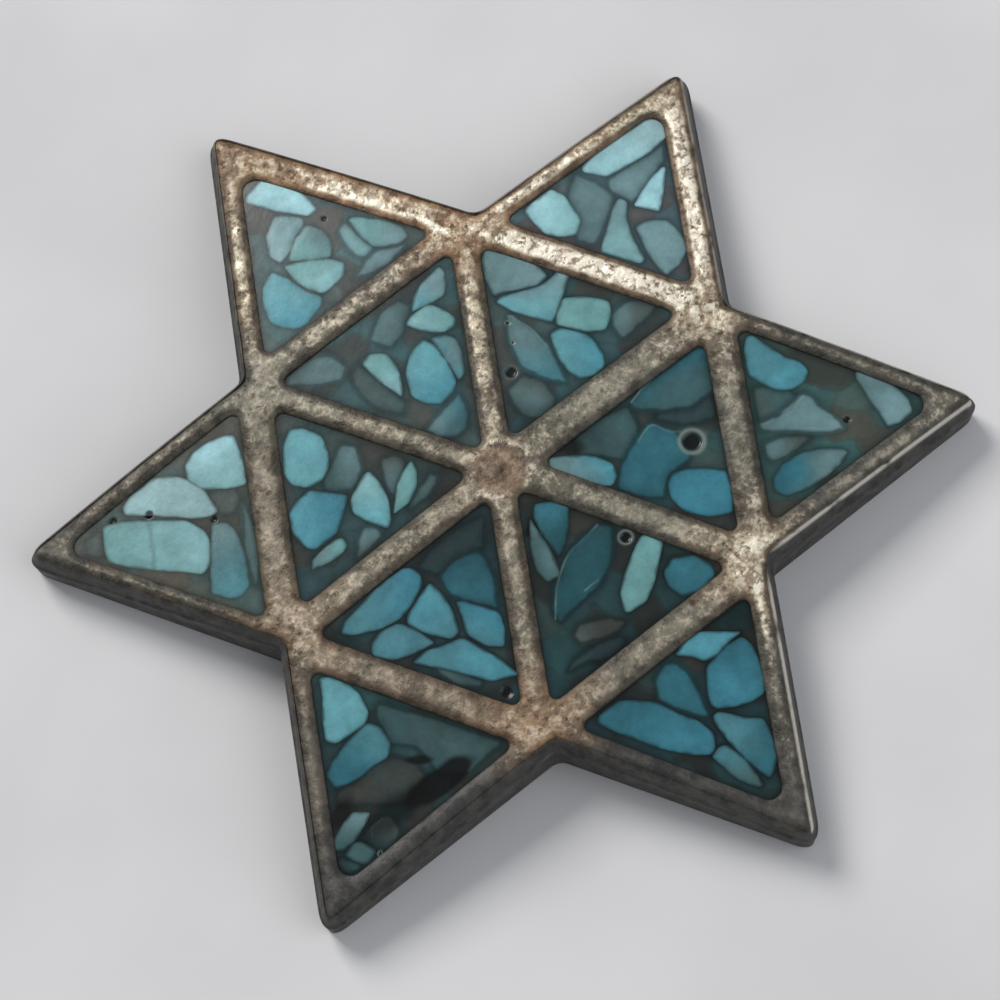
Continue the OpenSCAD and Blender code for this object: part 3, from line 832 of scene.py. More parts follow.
# Chips of each cell: the tones at its two ends, where the second end is, how far it is sunk in the resin,
# and its corners in hundredths of the cell's side, with the cell's point upwards
CHIPS = {
    ("point", 1): [
        ("cyan", "pale", 80, 0.0, [(-1, 158), (4.5, 156), (7.2, 151), (3.7, 143), (-7, 127.6), (-16, 126.2),
            (-17.2, 128), (-15, 134.5), (-10, 145.5), (-5, 152.3)]),
        ("cyan", "cyan", 0, 0.0, [(10.8, 138), (12.3, 138), (16.5, 120.6), (7, 119.5), (9.2, 133)]),
        ("aqua", "cyan", 215, 0.0, [(-24.5, 114), (-19, 113), (-10, 106), (-9.5, 100), (-14, 97.5),
            (-20, 96.6), (-30, 102), (-30.2, 103.6), (-27.8, 108.5)]),
        ("mist", "mist", 70, 0.0, [(14.4, 114.5), (21, 117.2), (27.8, 113.5), (31.4, 109), (31.5, 103),
            (28.7, 96.2), (25, 97.8), (19, 103), (11.2, 110.5)]),
        ("aqua", "mist", 90, 0.0, [(0.6, 119.4), (4.2, 119), (6.3, 112.5), (9.6, 107.2), (18.4, 99.6),
            (17.5, 97.2), (10, 97.2), (2.4, 96.8), (1.8, 105), (0.2, 114)]),
        ("mist", "dull", 80, 0.1, [(7.8, 147.5), (10, 141), (8.5, 130), (6, 120.8), (-3.5, 122.5),
            (-5.5, 126.2), (5, 142.5)]),
        ("dull", "dull", 0, 0.2, [(-18.5, 123.5), (-10, 122.5), (-2, 120), (-1.2, 110), (-1, 99),
            (-7.5, 98.3), (-17, 113)])],
    ("point", 2): [
        ("dull", "mist", 30, 0.0, [(-20, 136.8), (-19, 140.5), (-14.4, 146.2), (-7, 152.5), (-1.2, 153.5),
            (1.8, 149), (3.2, 143.8), (-4, 141.2), (-10, 138.5), (-16.5, 135.8)]),
        ("light", "teal", 200, 0.0, [(-38.5, 98.5), (-38.5, 101), (-28.8, 110), (-26.2, 115.5),
            (-23, 117.8), (-19.2, 116.8), (-16, 111.5), (-16.5, 106), (-20, 101), (-23.5, 97.2),
            (-33.5, 96.8)]),
        ("dull", "deep", 270, 0.0, [(10, 124), (11.8, 127.2), (15.5, 124), (19.5, 118), (23.2, 110.5),
            (25.5, 103), (23, 98.7), (18, 99), (13.5, 103), (10.5, 110), (9.5, 117)]),
        ("grey", "dull", 270, 0.1, [(4.3, 115), (6.8, 110.5), (9.8, 104.5), (11.2, 100), (9.5, 98.2),
            (4.5, 98), (3, 105), (3.2, 111.5)]),
        ("dull", "mist", 90, 0.1, [(2, 127.5), (2.8, 122), (0.5, 111), (-0.3, 104), (-1, 98), (-4, 98),
            (-6, 105.5), (-12.8, 114.5), (-12, 117.2), (-7.5, 119.2), (-2, 125)]),
        ("ghost", "grey", 270, 0.25, [(-15.4, 110), (-11.5, 112.5), (-6.7, 105.8), (-4.8, 97.6),
            (-18.2, 97.6), (-16.8, 104.8)])],
    ("point", 3): [
        ("blue", "deep", 300, 0.0, [(2.8, 125.5), (5.8, 130.2), (8.6, 131), (13.5, 127.2), (19.5, 119.5),
            (25, 110.8), (29, 104.5), (32.5, 97.2), (30.5, 95.5), (21.5, 95.8), (18, 98.5), (11.5, 105),
            (8.5, 112.5), (4.5, 118.5)]),
        ("deep", "blue", 30, 0.0, [(-28.8, 109.5), (-25, 121), (-21.2, 125.2), (-16, 125), (-9.8, 122.6),
            (-4.5, 119.2), (-4, 117), (-6.8, 112), (-11.5, 106), (-21, 104.2), (-28, 105)]),
        ("light", "light", 0, 0.0, [(-29, 103), (-21.5, 103), (-18, 103.8), (-12.5, 103), (-10, 99),
            (-5.5, 95.2), (-11.5, 93.4), (-16.5, 93.8), (-23, 98.5)]),
        ("teal", "deep", 90, 0.0, [(-14.5, 133), (-13, 139), (-9.6, 146.5), (-6, 149.2), (-2.8, 150.8),
            (-1.2, 143), (-0.4, 132), (-0.4, 123.5), (-2, 121.3), (-4.3, 121.8), (-10.5, 130)]),
        ("teal", "ghost", 90, 0.0, [(0.6, 151.5), (2.8, 150.8), (5.8, 145), (7.2, 138.5), (8.4, 132.8),
            (4.5, 131.8), (1.8, 132.5), (0.8, 136.5), (0.2, 144)]),
        ("deep", "deep", 90, 0.1, [(0, 119.5), (3, 116.2), (7, 109.5), (9.5, 104.5), (6, 98), (0, 95.5),
            (-2.8, 98), (-3.8, 104), (-2.4, 110.5)])],
    ("point", 4): [
        ("turquoise", "turquoise", 120, 0.0, [(19, 116), (22.8, 116.5), (26, 110.5), (29, 103),
            (33.5, 96.3), (29.8, 94.9), (22.8, 95.3), (18, 97.2), (12.5, 102), (12, 106),
            (15.5, 111)]),
        ("teal", "deep", 90, 0.0, [(13, 131.5), (17.8, 128), (17, 122), (14.5, 114.5), (11, 106.2),
            (6, 106), (0.3, 110.5), (0, 115.5), (3.5, 119), (6, 124), (10, 129)]),
        ("dull", "ghost", 90, 0.0, [(2, 151.5), (5.5, 153), (6.4, 149), (5, 143), (3.8, 138.5),
            (-2.2, 136.2), (-1.8, 140), (0, 147)]),
        ("ghost", "ghost", 90, 0.0, [(-7.5, 153.5), (0.5, 153.5), (-0.8, 149), (-2.8, 147.5),
            (-8.8, 148.2)]),
        ("dark", "ghost", 200, 0.1, [(-5, 157), (-2, 158.8), (2.2, 157.5), (1.8, 154.8),
            (-5.5, 154.8)]),
        ("dark", "grey", 270, 0.1, [(-13, 146), (-10, 147), (-3, 146), (-3.5, 142), (-7.5, 135.8),
            (-10, 135), (-14.2, 138.5), (-14.5, 142)]),
        ("soot", "soot", 0, 0.25, [(9, 137), (12, 133.5), (5.5, 126.5), (3, 120.5), (-2, 115), (-10, 114),
            (-15.5, 116.5), (-15, 122), (-13, 128), (0, 133)]),
        ("ghost", "ghost", 0, 0.25, [(-30, 110), (-20, 113.5), (-10, 107), (0, 110), (8.5, 102),
            (9.5, 97.5), (-37, 95.5), (-35, 100)])],
    ("point", 5): [
        ("aqua", "green", 80, 0.0, [(-10, 141), (-6.7, 148), (-2, 149), (7.2, 148.7), (7.6, 143),
            (6.6, 136), (4.3, 126), (2.8, 118.5), (-2, 112.5), (-6, 110.8), (-15, 111.5), (-18.5, 115),
            (-16.5, 120), (-13.5, 130)]),
        ("aqua", "cyan", 0, 0.0, [(15, 111), (19.2, 114.7), (25, 115), (29, 111.5), (31.8, 105.5),
            (33, 100), (32.8, 96.2), (22, 94.5), (13.2, 94.2), (13, 100)]),
        ("pale", "pale", 250, 0.0, [(10, 139.5), (13.5, 140.2), (17.2, 136.5), (19, 132), (21.8, 128),
            (21, 120.5), (18.5, 115.5), (14, 110.5), (4.5, 106), (3.2, 109.5), (4, 116), (6.4, 122),
            (7.7, 128)]),
        ("teal", "dull", 0, 0.0, [(-29.8, 105), (-26.2, 112), (-16.5, 110.6), (-7, 109.4), (-0.5, 108.5),
            (-1.2, 103), (-5.5, 100), (-15, 98.5), (-25.5, 98), (-29.8, 101)]),
        ("dull", "dull", 0, 0.1, [(-27, 95.8), (-14, 97.2), (5.5, 96.2), (0, 94), (-12, 92.6),
            (-24, 94)]),
        ("grey", "grey", 0, 0.2, [(3.5, 105), (11, 108.5), (12.5, 104), (12, 98.5), (7, 97.5),
            (3, 100)]),
        ("grey", "grey", 90, 0.2, [(-2, 156), (3, 156), (5.5, 150.5), (-3.5, 150.5)])],
    ("point", 6): [
        ("cyan", "cyan", 90, 0.0, [(-4.3, 150.5), (-1.5, 153), (5.8, 154.3), (8.4, 152.8), (11.5, 146),
            (13.9, 136.5), (13.7, 130.8), (9.6, 130.7), (6.5, 134.5), (0, 144)]),
        ("mist", "pale", 180, 0.0, [(-0.5, 138.5), (3.5, 135.5), (7, 131), (6, 128.5), (0, 126.5),
            (-6, 122.8), (-10, 121.5), (-11.5, 126.5), (-7, 134)]),
        ("turquoise", "light", 240, 0.0, [(-26, 110.5), (-21.2, 117.2), (-15.5, 120), (-12.8, 114.5),
            (-11.3, 106.5), (-7.8, 100), (-10, 97.2), (-19.2, 95), (-23, 96.3), (-27.8, 103)]),
        ("green", "aqua", 300, 0.0, [(-10, 119), (-5.8, 117), (4, 110.3), (7.6, 105.8), (4, 101.6),
            (-5.5, 100.6), (-8.4, 105), (-10.2, 111)]),
        ("green", "dull", 20, 0.0, [(-7.2, 120), (0, 125.4), (6.2, 127.4), (9.6, 122.5), (9.2, 115.5),
            (5.5, 111.2), (1, 113.9)]),
        ("green", "mist", 300, 0.0, [(20.5, 118.5), (23.5, 117.3), (28.8, 110.5), (33.5, 103), (32.5, 98.2),
            (28, 98.5), (21, 103.5), (19.6, 110.5)]),
        ("mist", "aqua", 300, 0.1, [(14, 117), (18.5, 118.2), (18.7, 110), (20, 103.5), (15.5, 102.2),
            (13.2, 106)]),
        ("mist", "mist", 0, 0.1, [(8, 97.3), (14.5, 100), (19.5, 100.8), (25, 98.5), (30, 96), (22, 94.4),
            (14, 95.2)])],
    ("inner", 1): [
        ("mist", "turquoise", 270, 0.0, [(-26.5, 63.2), (-25.5, 66), (-14, 74), (-11.5, 78.5), (-10, 83),
            (-5.5, 83.2), (-4.8, 70), (-4.5, 63), (-19, 62)]),
        ("teal", "dull", 150, 0.06, [(-20.5, 59), (-19, 60), (-9.6, 56.6), (-1.8, 52.6), (5, 46.3),
            (10, 41.5), (0, 41), (-8, 42.6), (-15.5, 49)]),
        ("turquoise", "light", 30, 0.0, [(-2.5, 57.5), (0, 61), (7.8, 61.8), (11.5, 61.2), (18, 56.8),
            (20, 52.7), (17.5, 48), (13.5, 45.2), (8.5, 46.8), (3, 50.8)]),
        ("green", "green", 270, 0.0, [(-3.3, 73), (2, 75.5), (9, 77.5), (12.5, 77.5), (14.8, 73),
            (15, 66.8), (9.5, 64.2), (-2, 62.6), (-3.3, 67)]),
        ("dull", "mist", 0, 0.0, [(-38.5, 82), (-31, 83.8), (-20, 83), (-13.5, 79.8), (-15.5, 75),
            (-26.5, 68), (-28.5, 65.5), (-33.5, 71), (-37.5, 77)]),
        ("dull", "grey", 0, 0.1, [(16, 74), (19, 79.5), (23, 82), (29.8, 82.8), (29, 79.5), (26, 73),
            (23.2, 66), (18.5, 69)]),
        ("dull", "grey", 90, 0.2, [(-9, 31), (-6, 37.5), (0, 39), (7.5, 34.5), (8.6, 30.5), (5.8, 25.8),
            (2, 24), (-3, 25.8)])],
    ("inner", 2): [
        ("blue", "blue", 90, 0.0, [(10.5, 68), (11.5, 75), (13, 81.5), (21, 82), (28.8, 81.2), (29, 73),
            (26, 65.2), (21, 61), (15.5, 60.4), (11.5, 62.5)]),
        ("light", "dull", 270, 0.0, [(-2, 19), (-1.8, 24), (0, 34), (3.5, 40.5), (8.5, 41.5), (12, 39),
            (10, 33), (6, 25), (2.5, 18.3)]),
        ("deep", "ghost", 20, 0.06, [(-38.8, 80.5), (-35.5, 82.8), (-20, 82), (-14.8, 73), (-14.8, 63),
            (-16.5, 54.5), (-18.5, 51.8), (-26, 58.4), (-33.6, 67.8), (-37.2, 74.5)]),
        ("ghost", "ghost", 0, 0.1, [(-17.5, 50), (-10, 52), (0, 51), (3, 46), (-0.8, 38), (-1.5, 30),
            (-8.5, 29.2), (-12.5, 34.5)]),
        ("deep", "deep", 270, 0.1, [(-5, 65.5), (6, 69), (10.5, 60.5), (19, 57.5), (17.5, 50), (13.5, 42),
            (6, 44), (-2, 50), (-10, 57)]),
        ("dark", "dark", 90, 0.25, [(-19, 81), (-9, 81), (-8, 70), (-11, 60), (-14, 62), (-14, 73)])],
    ("inner", 3): [
        ("green", "green", 0, 0.0, [(-28.5, 59.2), (-15.5, 69.2), (-10, 72.2), (-3, 71.8), (-1.6, 70.5),
            (-5, 64.2), (-10, 60.6), (-19.5, 54.6), (-24, 52.4), (-26.5, 54.5)]),
        ("deep", "deep", 270, 0.0, [(-36.8, 76.5), (-35, 80.3), (-29, 81.2), (-22, 79.5), (-20.2, 74),
            (-22, 68.5), (-27.5, 66.5), (-33.5, 70)]),
        ("dull", "ghost", 0, 0.0, [(3.2, 21.5), (4.7, 31), (6.4, 40), (7.8, 44.5), (13.5, 44), (13.5, 38.5),
            (10, 31), (5.8, 24.5)]),
        ("shade", "deep", 270, 0.0, [(-10.8, 25.8), (-6.5, 30.8), (-1.5, 35.8), (4, 39), (3.2, 31),
            (1.8, 22.5), (-1.5, 18.5), (-6, 21.2)]),
        ("shade", "shade", 30, 0.1, [(-18, 42), (-14, 48), (-7.5, 53.5), (0, 56.5), (19, 59), (18, 53.5),
            (11, 46.5), (5, 43), (0, 40.5), (-14, 39)]),
        ("dark", "dark", 0, 0.2, [(6, 80), (13, 81), (20, 77), (29, 75.5), (25, 73.5), (12, 75),
            (6, 77)]),
        ("soot", "grey", 0, 0.1, [(1, 74), (6, 74.8), (18, 70), (18.7, 66.8), (14.5, 64.8),
            (6, 68.8)])],
    ("inner", 4): [
        ("light", "teal", 30, 0.0, [(-34, 70), (-25, 75.8), (-16.5, 76), (3.2, 79.2), (0, 73.4),
            (-5.5, 69.2), (-10.5, 64.7), (-16.5, 66), (-24, 66.8)]),
        ("teal", "teal", 0, 0.0, [(-0.8, 69.7), (5.5, 76.2), (11.2, 80.5), (18, 81.2), (19.8, 77.5),
            (18.2, 72.2), (13.5, 67.8), (8, 67.8)]),
        ("blue", "teal", 60, 0.0, [(11.7, 51), (12.4, 58.5), (14.7, 65), (19.2, 70.5), (26.8, 76),
            (32, 77.5), (32.5, 73), (29, 65), (25, 55.5), (20.5, 48), (17.5, 46.5), (13.5, 47.8)]),
        ("light", "teal", 200, 0.0, [(-7.6, 62.5), (-5.8, 65.8), (3, 66.6), (10.3, 65.8), (11.2, 63),
            (9.8, 55.5), (8.6, 49.4), (3, 51.9), (-2.8, 56.8)]),
        ("teal", "blue", 270, 0.0, [(-25.2, 62), (-19.2, 63.7), (-11.2, 61.8), (-8.2, 57.3), (-3.4, 52.6),
            (-6, 51.4), (-19, 51.3), (-23.2, 56.5)]),
        ("deep", "deep", 90, 0.1, [(-17.5, 49.3), (-10, 50.2), (0, 50), (5.5, 45.2), (3, 38.5), (-3, 32.2),
            (-6.5, 33.6), (-12.5, 40)]),
        ("ghost", "dull", 0, 0.1, [(-22.5, 79.3), (-15, 80.8), (-6, 79), (-6, 77.2), (-15, 76.8),
            (-22, 77)]),
        ("dark", "dark", 0, 0.3, [(6, 44), (15, 45), (13, 38), (6, 25), (0, 19), (-4, 30), (3, 37)])],
    ("inner", 5): [
        ("turquoise", "turquoise", 90, 0.0, [(7.5, 71.8), (9.5, 76.8), (13.5, 78.7), (25, 77.6),
            (30.5, 74.8), (30, 70), (26, 64.2), (19.2, 62.7), (13.5, 63.2), (9.5, 66)]),
        ("aqua", "turquoise", 180, 0.0, [(-14, 44.5), (-10, 51), (-5.8, 55.6), (-1, 55.7), (7.5, 50),
            (8.5, 48), (3.8, 45.2), (-3, 43.2), (-11.5, 43)]),
        ("blue", "light", 90, 0.0, [(-17.2, 72), (-15.5, 74.8), (-9.6, 78.6), (-1.8, 79), (2, 75.7),
            (5, 71), (2.8, 64.2), (0.8, 57.8), (-6, 60.5), (-12.2, 63.5), (-14.8, 68)]),
        ("green", "green", 180, 0.0, [(-9, 41.2), (-2, 39.2), (5.5, 36.2), (10, 32.2), (5.5, 30.8),
            (0, 32.2), (-5.5, 35.5)]),
        ("dull", "green", 270, 0.0, [(-25, 73.8), (-21.2, 73), (-15.7, 64.5), (-15.2, 61.8), (-18.2, 60.4),
            (-20.3, 62), (-22.8, 67)]),
        ("dull", "ghost", 120, 0.1, [(4.5, 64), (9, 65), (13.5, 61), (20.5, 57), (19, 52), (11, 51),
            (3.5, 55)]),
        ("dull", "grey", 0, 0.15, [(2, 42), (12, 43), (13, 38), (10, 34.5), (4, 37), (-3, 40)]),
        ("ghost", "dull", 0, 0.1, [(-9, 35.5), (-5.5, 34), (3.5, 26), (2, 23.2), (-3, 26.8)]),
        ("grey", "dull", 0, 0.1, [(-24, 57.2), (-19, 55.5), (-13, 53), (-13.5, 48.5), (-16.5, 47)])],
    ("inner", 6): [
        ("turquoise", "light", 270, 0.0, [(-6, 45), (-2, 53.5), (3.8, 58.5), (10.5, 60), (12.1, 55.5),
            (11.4, 47), (9.5, 39.5), (6.5, 37), (0, 36.2), (-3.8, 39.5)]),
        ("aqua", "green", 0, 0.0, [(10, 69), (13.5, 70.5), (21, 70), (23.2, 66), (25.2, 60), (22.8, 57.4),
            (18.2, 58.5), (13, 64.2)]),
        ("turquoise", "mist", 0, 0.0, [(15, 72.2), (19.2, 76.2), (25, 78.7), (33.5, 80.2), (33.8, 77.5),
            (30.5, 72.8), (27.8, 70.3), (22.5, 71)]),
        ("green", "aqua", 270, 0.0, [(-12.5, 67), (-8, 68.5), (-3.5, 64), (-4.5, 56.5), (-7.5, 50),
            (-9.6, 47.6), (-10.8, 53.5), (-11.8, 60)]),
        ("light", "dull", 0, 0.0, [(13.3, 58.5), (18.2, 55.8), (20, 52), (17.5, 46), (14.5, 40.2),
            (11, 39.2), (12.7, 48)]),
        ("dull", "dull", 300, 0.1, [(-39, 79), (-35.5, 81.5), (-24, 80.8), (-20, 77.5), (-18.5, 71),
            (-22.8, 68), (-31, 72.8)]),
        ("mist", "teal", 0, 0.1, [(-10.5, 30.8), (0, 32.5), (7, 34.5), (6, 29), (2, 23), (-2.8, 22),
            (-8.5, 25.8)]),
        ("grey", "ghost", 0, 0.25, [(-18.5, 66), (-14, 68), (-12, 55), (-10, 45), (-14, 42), (-19, 50),
            (-20, 60)]),
        ("ghost", "dull", 120, 0.2, [(-4, 73), (5, 79), (13, 79), (15, 74), (9, 69), (0, 66)])]}

# Rounding of a chip's corners, how far its outline stands outside them, and how ragged that is
CORNER_R = 0.20
GROW = 0.11
RAGGED = 0.06

# Distances past FAR aren't worked out, and chips that lie deeper than SUNK are seen through the resin
FAR = 1.5
SUNK = 0.05

# A chip's top: its rings from the outline to the middle, the rise of its crown, and how far it stands
# over the resin. Its foot: the rings from the middle outwards, and how far it is over the pocket's floor.
CHIP_SHARES = np.array([
    1.0, 0.985, 0.965, 0.94, 0.91, 0.87, 0.82, 0.76, 0.69, 0.61, 0.52, 0.43, 0.33, 0.22, 0.11, 0.0])
CROWN_RISE = 0.012
STAND = 0.002
FOOT_SHARES = np.array([0.0, 0.98])
FOOT_GAP = 0.1

# Height of the waves of the polished surface, and depths of the dips over chips, in bubbles and in hollows
RIPPLE_H = 0.02
CHIP_DIP = 0.06
BUBBLE_DIP = 0.10
HOLLOW_DIP = 0.03

# How far the painted shade reaches between two chips and round a chip, how far the resin over a chip's edge
# and its painted shade reach into it, and how far the painted shadow reaches along the walls and round a sunk
# chip
SEAM_REACH = 0.40
RIM_REACH = 0.18
EDGE_REACH = 0.10
WALL_SHADOW_REACH = 0.30
SHADOW_REACH = 0.30

# Half widths of the dark splits and of the pale cracks and painted edge highlights, and how far each kind is
# moved by noise
SPLIT_W = 0.14
SPLIT_BEND = 0.12
CRACK_W = 0.045
CRACK_BEND = 0.10


def from_rim(plan, rim):
    """Distance to a closed outline, negative inside it and FAR where it is clearly more. A point is
    inside where a level line to its right crosses the outline an odd number of times."""
    near = ((plan > rim.min(0) - FAR) & (plan < rim.max(0) + FAR)).all(-1)
    step = np.roll(rim, -1, 0) - rim
    off = plan[near][:, None] - rim
    t = np.clip((off * step).sum(-1) / (step ** 2).sum(-1), 0, 1)
    away = np.linalg.norm(off - t[..., None] * step, axis=-1).min(-1)
    spans = (off[..., 1] >= 0) != (off[..., 1] >= step[:, 1])
    level = np.where(step[:, 1] == 0, 1.0, step[:, 1])
    ahead = off[..., 0] < step[:, 0] * off[..., 1] / level
    distance = np.full(plan.shape[:-1], FAR)
    distance[near] = away * np.where((spans & ahead).sum(-1) % 2 == 1, -1.0, 1.0)
    return distance


def screened(tone):
    """Paint that looks like a tone on the screen, once the gloss has laid its veil over it."""
    return np.maximum(np.array(linear(*tone)[:3]) - GLOSS_VEIL, LEAST_TONE) * PAINT_GAIN


def ripple(plan, cell):
    """Gentle waves of the polished surface."""
    return RIPPLE_H * (grains(plan, 1.7, seed=71 + cell[1]) - 0.5)


def in_star(plan, z, cell):
    """Points of a cell's own frame, in which its star point is upwards, at their places in the star."""
    return raised(turned(plan, -FOLD * (cell[1] - 1)), z)


class Chip:
    """A stone chip: its outline in its cell's frame, its depth under the resin, and its tones."""

    def __init__(self, row):
        self.tone, self.other, self.toward, self.depth, corners = row
        self.outline = softened(np.array(corners) / 100 * CELL_SIDE, CORNER_R, CHIP_STEPS)
        self.middle = self.outline.mean(0)
        out = self.outline - self.middle
        wave = GROW + RAGGED * (grains(self.outline, 0.8, seed=61) - 0.5)
        self.outline += out * (wave / np.linalg.norm(out, axis=1))[:, None]


def gap_and_shade_tone(cell):
    """Colour of the resin in the narrow gaps of a cell, also the painted shade round chips: its smoke, darker
    and more blue-green.
    """
    return screened(GAP_AND_SHADE_SHARE * SMOKE[cell])


def chip_colour(chip, plan, cell):
    """Paint on a chip: one tone runs into the other along it, mottled in patches, lighter in its middle and
    darker towards its rim as painted shade of a rounded top, and at its rim mixed into the gap tone for resin
    over its edge and painted shade.
    """
    ends = [screened(TONES[tone]) for tone in (chip.tone, chip.other)]
    size = np.ptp(chip.outline, axis=0).max() / 2
    end = (plan - chip.middle) @ heading(chip.toward) / size
    patch = grains(plan + 3.1 * chip.middle, 1.0, seed=41)
    blend = smooth(-0.8, 0.8, end + 0.9 * (grain(plan + chip.middle, 1.5, seed=42) - 0.5))
    colour = mixed(*ends, blend) * (0.78 + 0.44 * patch)[..., None]
    inside = -from_rim(plan, chip.outline)
    # Painted shade: lighter in the middle and darker towards the rim, as on a rounded top
    colour = colour * (0.90 + 0.14 * smooth(0, 0.35 * size, inside))[..., None]
    # The rim runs into the gap tone: resin over the chip's edge, and painted shade
    ragged = np.maximum(inside + 0.10 * (grain(plan, 0.35, seed=43) - 0.5), 0)
    return mixed(colour, gap_and_shade_tone(cell), 0.75 * bell(ragged, EDGE_REACH))


def rubble(plan, size, seed):
    """Crushed stone far down. Each square of a lattice holds one random point. Returns the random numbers
    of the two points nearest to each plan point, and how much farther the second is."""
    p = plan / size + seed
    home = np.floor(p)
    steps = [np.array([x, y]) for x in (-1, 0, 1) for y in (-1, 0, 1)]
    squares = np.stack([home + step for step in steps])
    spots = squares + np.stack([chance(squares, 5), chance(squares, 6)], -1)
    away = np.linalg.norm(spots - p, axis=-1)
    order = np.argsort(away, axis=0)[:2]
    first, second = np.take_along_axis(away, order, 0)
    return np.take_along_axis(chance(squares, 7), order, 0), (second - first) * size


def smoke(plan, cell):
    """The resin's own colour: smoky grey in soft clouds, over rubble that is dull green, teal or brown."""
    level = np.array(SMOKE[cell])
    cloud = grains(plan + 11.0 * cell[1], 2.2, seed=51)
    warp = np.stack([grain(plan, 0.9, seed=53), grain(plan, 0.9, seed=54)], -1)
    marks, clear = rubble((plan + 0.7 * warp) * [1.0, 0.7], 1.8, 3.7 * cell[1])
    stones = np.array([screened(np.array(tone) * (0.4 + level / 105)) for tone in RUBBLE])
    first, second = stones[np.minimum(marks * len(stones), len(stones) - 1).astype(int)]
    own = (0.5 + 0.5 * smooth(0.0, 0.35, clear))[..., None]
    deep = (first * own + second * (1 - own)) * (0.75 + 0.25 * smooth(0.0, 0.3, clear))[..., None]
    base = screened(level) * (0.6 + 0.8 * cloud)[..., None]
    return mixed(base, deep, 0.20 + 0.35 * cloud)


# Dark splits across chips: points as shares of the cell's side
SPLITS = {("point", 5): [[(-0.18, 1.33), (-0.08, 1.315), (0.0, 1.32), (0.08, 1.31)]]}

# Bubbles in the resin: the middle and radius as shares of the cell's side, and how bright the painted
# highlight on their rim is
BUBBLES = {
    ("inner", 1): [(-0.110, 0.382, 0.021, 0.2), (-0.197, 0.565, 0.007, 1.0), (-0.149, 0.498, 0.006, 1.0)],
    ("point", 2): [(-0.010, 1.293, 0.014, 0.1)],
    ("inner", 2): [(-0.005, 0.714, 0.036, 0.9)],
    ("inner", 3): [(-0.194, 0.490, 0.020, 0.9)],
    ("point", 4): [(-0.110, 1.485, 0.007, 1.0)],
    ("inner", 4): [(-0.326, 0.776, 0.021, 0.0)],
    ("point", 5): [(0.086, 1.312, 0.016, 0.0), (0.088, 1.451, 0.013, 0.0), (0.017, 1.075, 0.012, 0.0)],
    ("point", 6): [(0.134, 1.254, 0.010, 0.0)]}
BUBBLE_HIGHLIGHT = np.array(linear(150, 165, 158)[:3])

# Fine pale cracks, and painted highlights on the lit rims of chips under the resin: points as shares of the
# cell's side
CRACKS_AND_LIT_EDGES = {
    ("inner", 2): [
        [(-0.355, 0.830), (-0.387, 0.803), (-0.362, 0.735), (-0.336, 0.680), (-0.26, 0.585), (-0.19, 0.52)],
        [(-0.048, 0.680), (-0.055, 0.630), (-0.105, 0.577), (-0.06, 0.535), (-0.03, 0.52)]],
    ("inner", 3): [
        [(-0.145, 0.386), (-0.05, 0.398), (0.01, 0.405), (0.07, 0.44), (0.13, 0.485), (0.20, 0.57)],
        [(-0.01, 0.555), (0.05, 0.555)]],
    ("inner", 1): [
        [(-0.205, 0.593), (-0.18, 0.597), (-0.096, 0.567), (-0.02, 0.53)]],
    ("point", 2): [
        [(-0.125, 1.150), (-0.09, 1.125), (-0.06, 1.08), (-0.043, 1.03), (-0.035, 0.975)],
        [(0.02, 1.270), (0.012, 1.18), (-0.003, 1.10)]],
    ("point", 4): [
        [(-0.060, 1.445), (-0.045, 1.41), (-0.07, 1.365)]]}
CRACK_AND_HIGHLIGHT_TONE = np.array(linear(150, 180, 178)[:3])

# Dark hollows, mostly in the cells' corners and along their walls: middle, half length and half width in the
# same shares, turn, depth of the dark and softness of the border
HOLLOWS = {
    ("point", 1): [(-0.375, 0.975, 0.045, 0.025, 60, 0.8, 0.3)],
    ("point", 3): [(-0.33, 0.97, 0.13, 0.08, 0, 0.6, 0.7)],
    ("point", 4): [
        (-0.215, 1.170, 0.150, 0.050, 57, 0.93, 0.25), (-0.100, 1.340, 0.160, 0.060, 62, 0.75, 0.5),
        (0.070, 1.400, 0.060, 0.040, 90, 0.80, 0.4), (-0.120, 1.120, 0.050, 0.018, 20, 0.85, 0.4),
        (0.030, 1.620, 0.080, 0.040, 0, 0.60, 0.7)],
    ("inner", 1): [(0.000, 0.230, 0.10, 0.07, 0, 0.4, 0.8)],
    ("inner", 2): [(-0.060, 0.270, 0.06, 0.035, 60, 0.75, 0.4), (-0.10, 0.33, 0.10, 0.05, 60, 0.4, 0.8)],
    ("inner", 3): [(0.040, 0.255, 0.04, 0.025, 0, 0.9, 0.3), (0.15, 0.82, 0.25, 0.05, 0, 0.4, 0.8)],
    ("inner", 4): [(0.000, 0.290, 0.20, 0.14, 0, 0.35, 0.9), (0.30, 0.80, 0.08, 0.04, 0, 0.6, 0.6)],
    ("inner", 5): [(0.000, 0.230, 0.10, 0.06, 0, 0.4, 0.8)],
    ("inner", 6): [(0.000, 0.230, 0.10, 0.06, 0, 0.4, 0.8), (-0.36, 0.80, 0.08, 0.05, 0, 0.4, 0.8)]}


def to_line(plan, line):
    """Distance from a path, its corners cut twice at a quarter of its pieces."""
    for _ in range(2):
        cut = np.stack([0.75 * line[:-1] + 0.25 * line[1:], 0.25 * line[:-1] + 0.75 * line[1:]], 1)
        line = np.r_[line[:1], cut.reshape(-1, 2), line[-1:]]
    return np.min([beside(plan, a, b)[1] for a, b in zip(line[:-1], line[1:])], axis=0)


def to_crack(plan, line, bend, seed):
    """Distance from a path in shares of the cell's side, moved by noise, at most by half of bend."""
    moved = plan + bend * (grain(plan, 0.5, seed)[..., None] - 0.5)
    return to_line(moved, np.array(line) * CELL_SIDE)


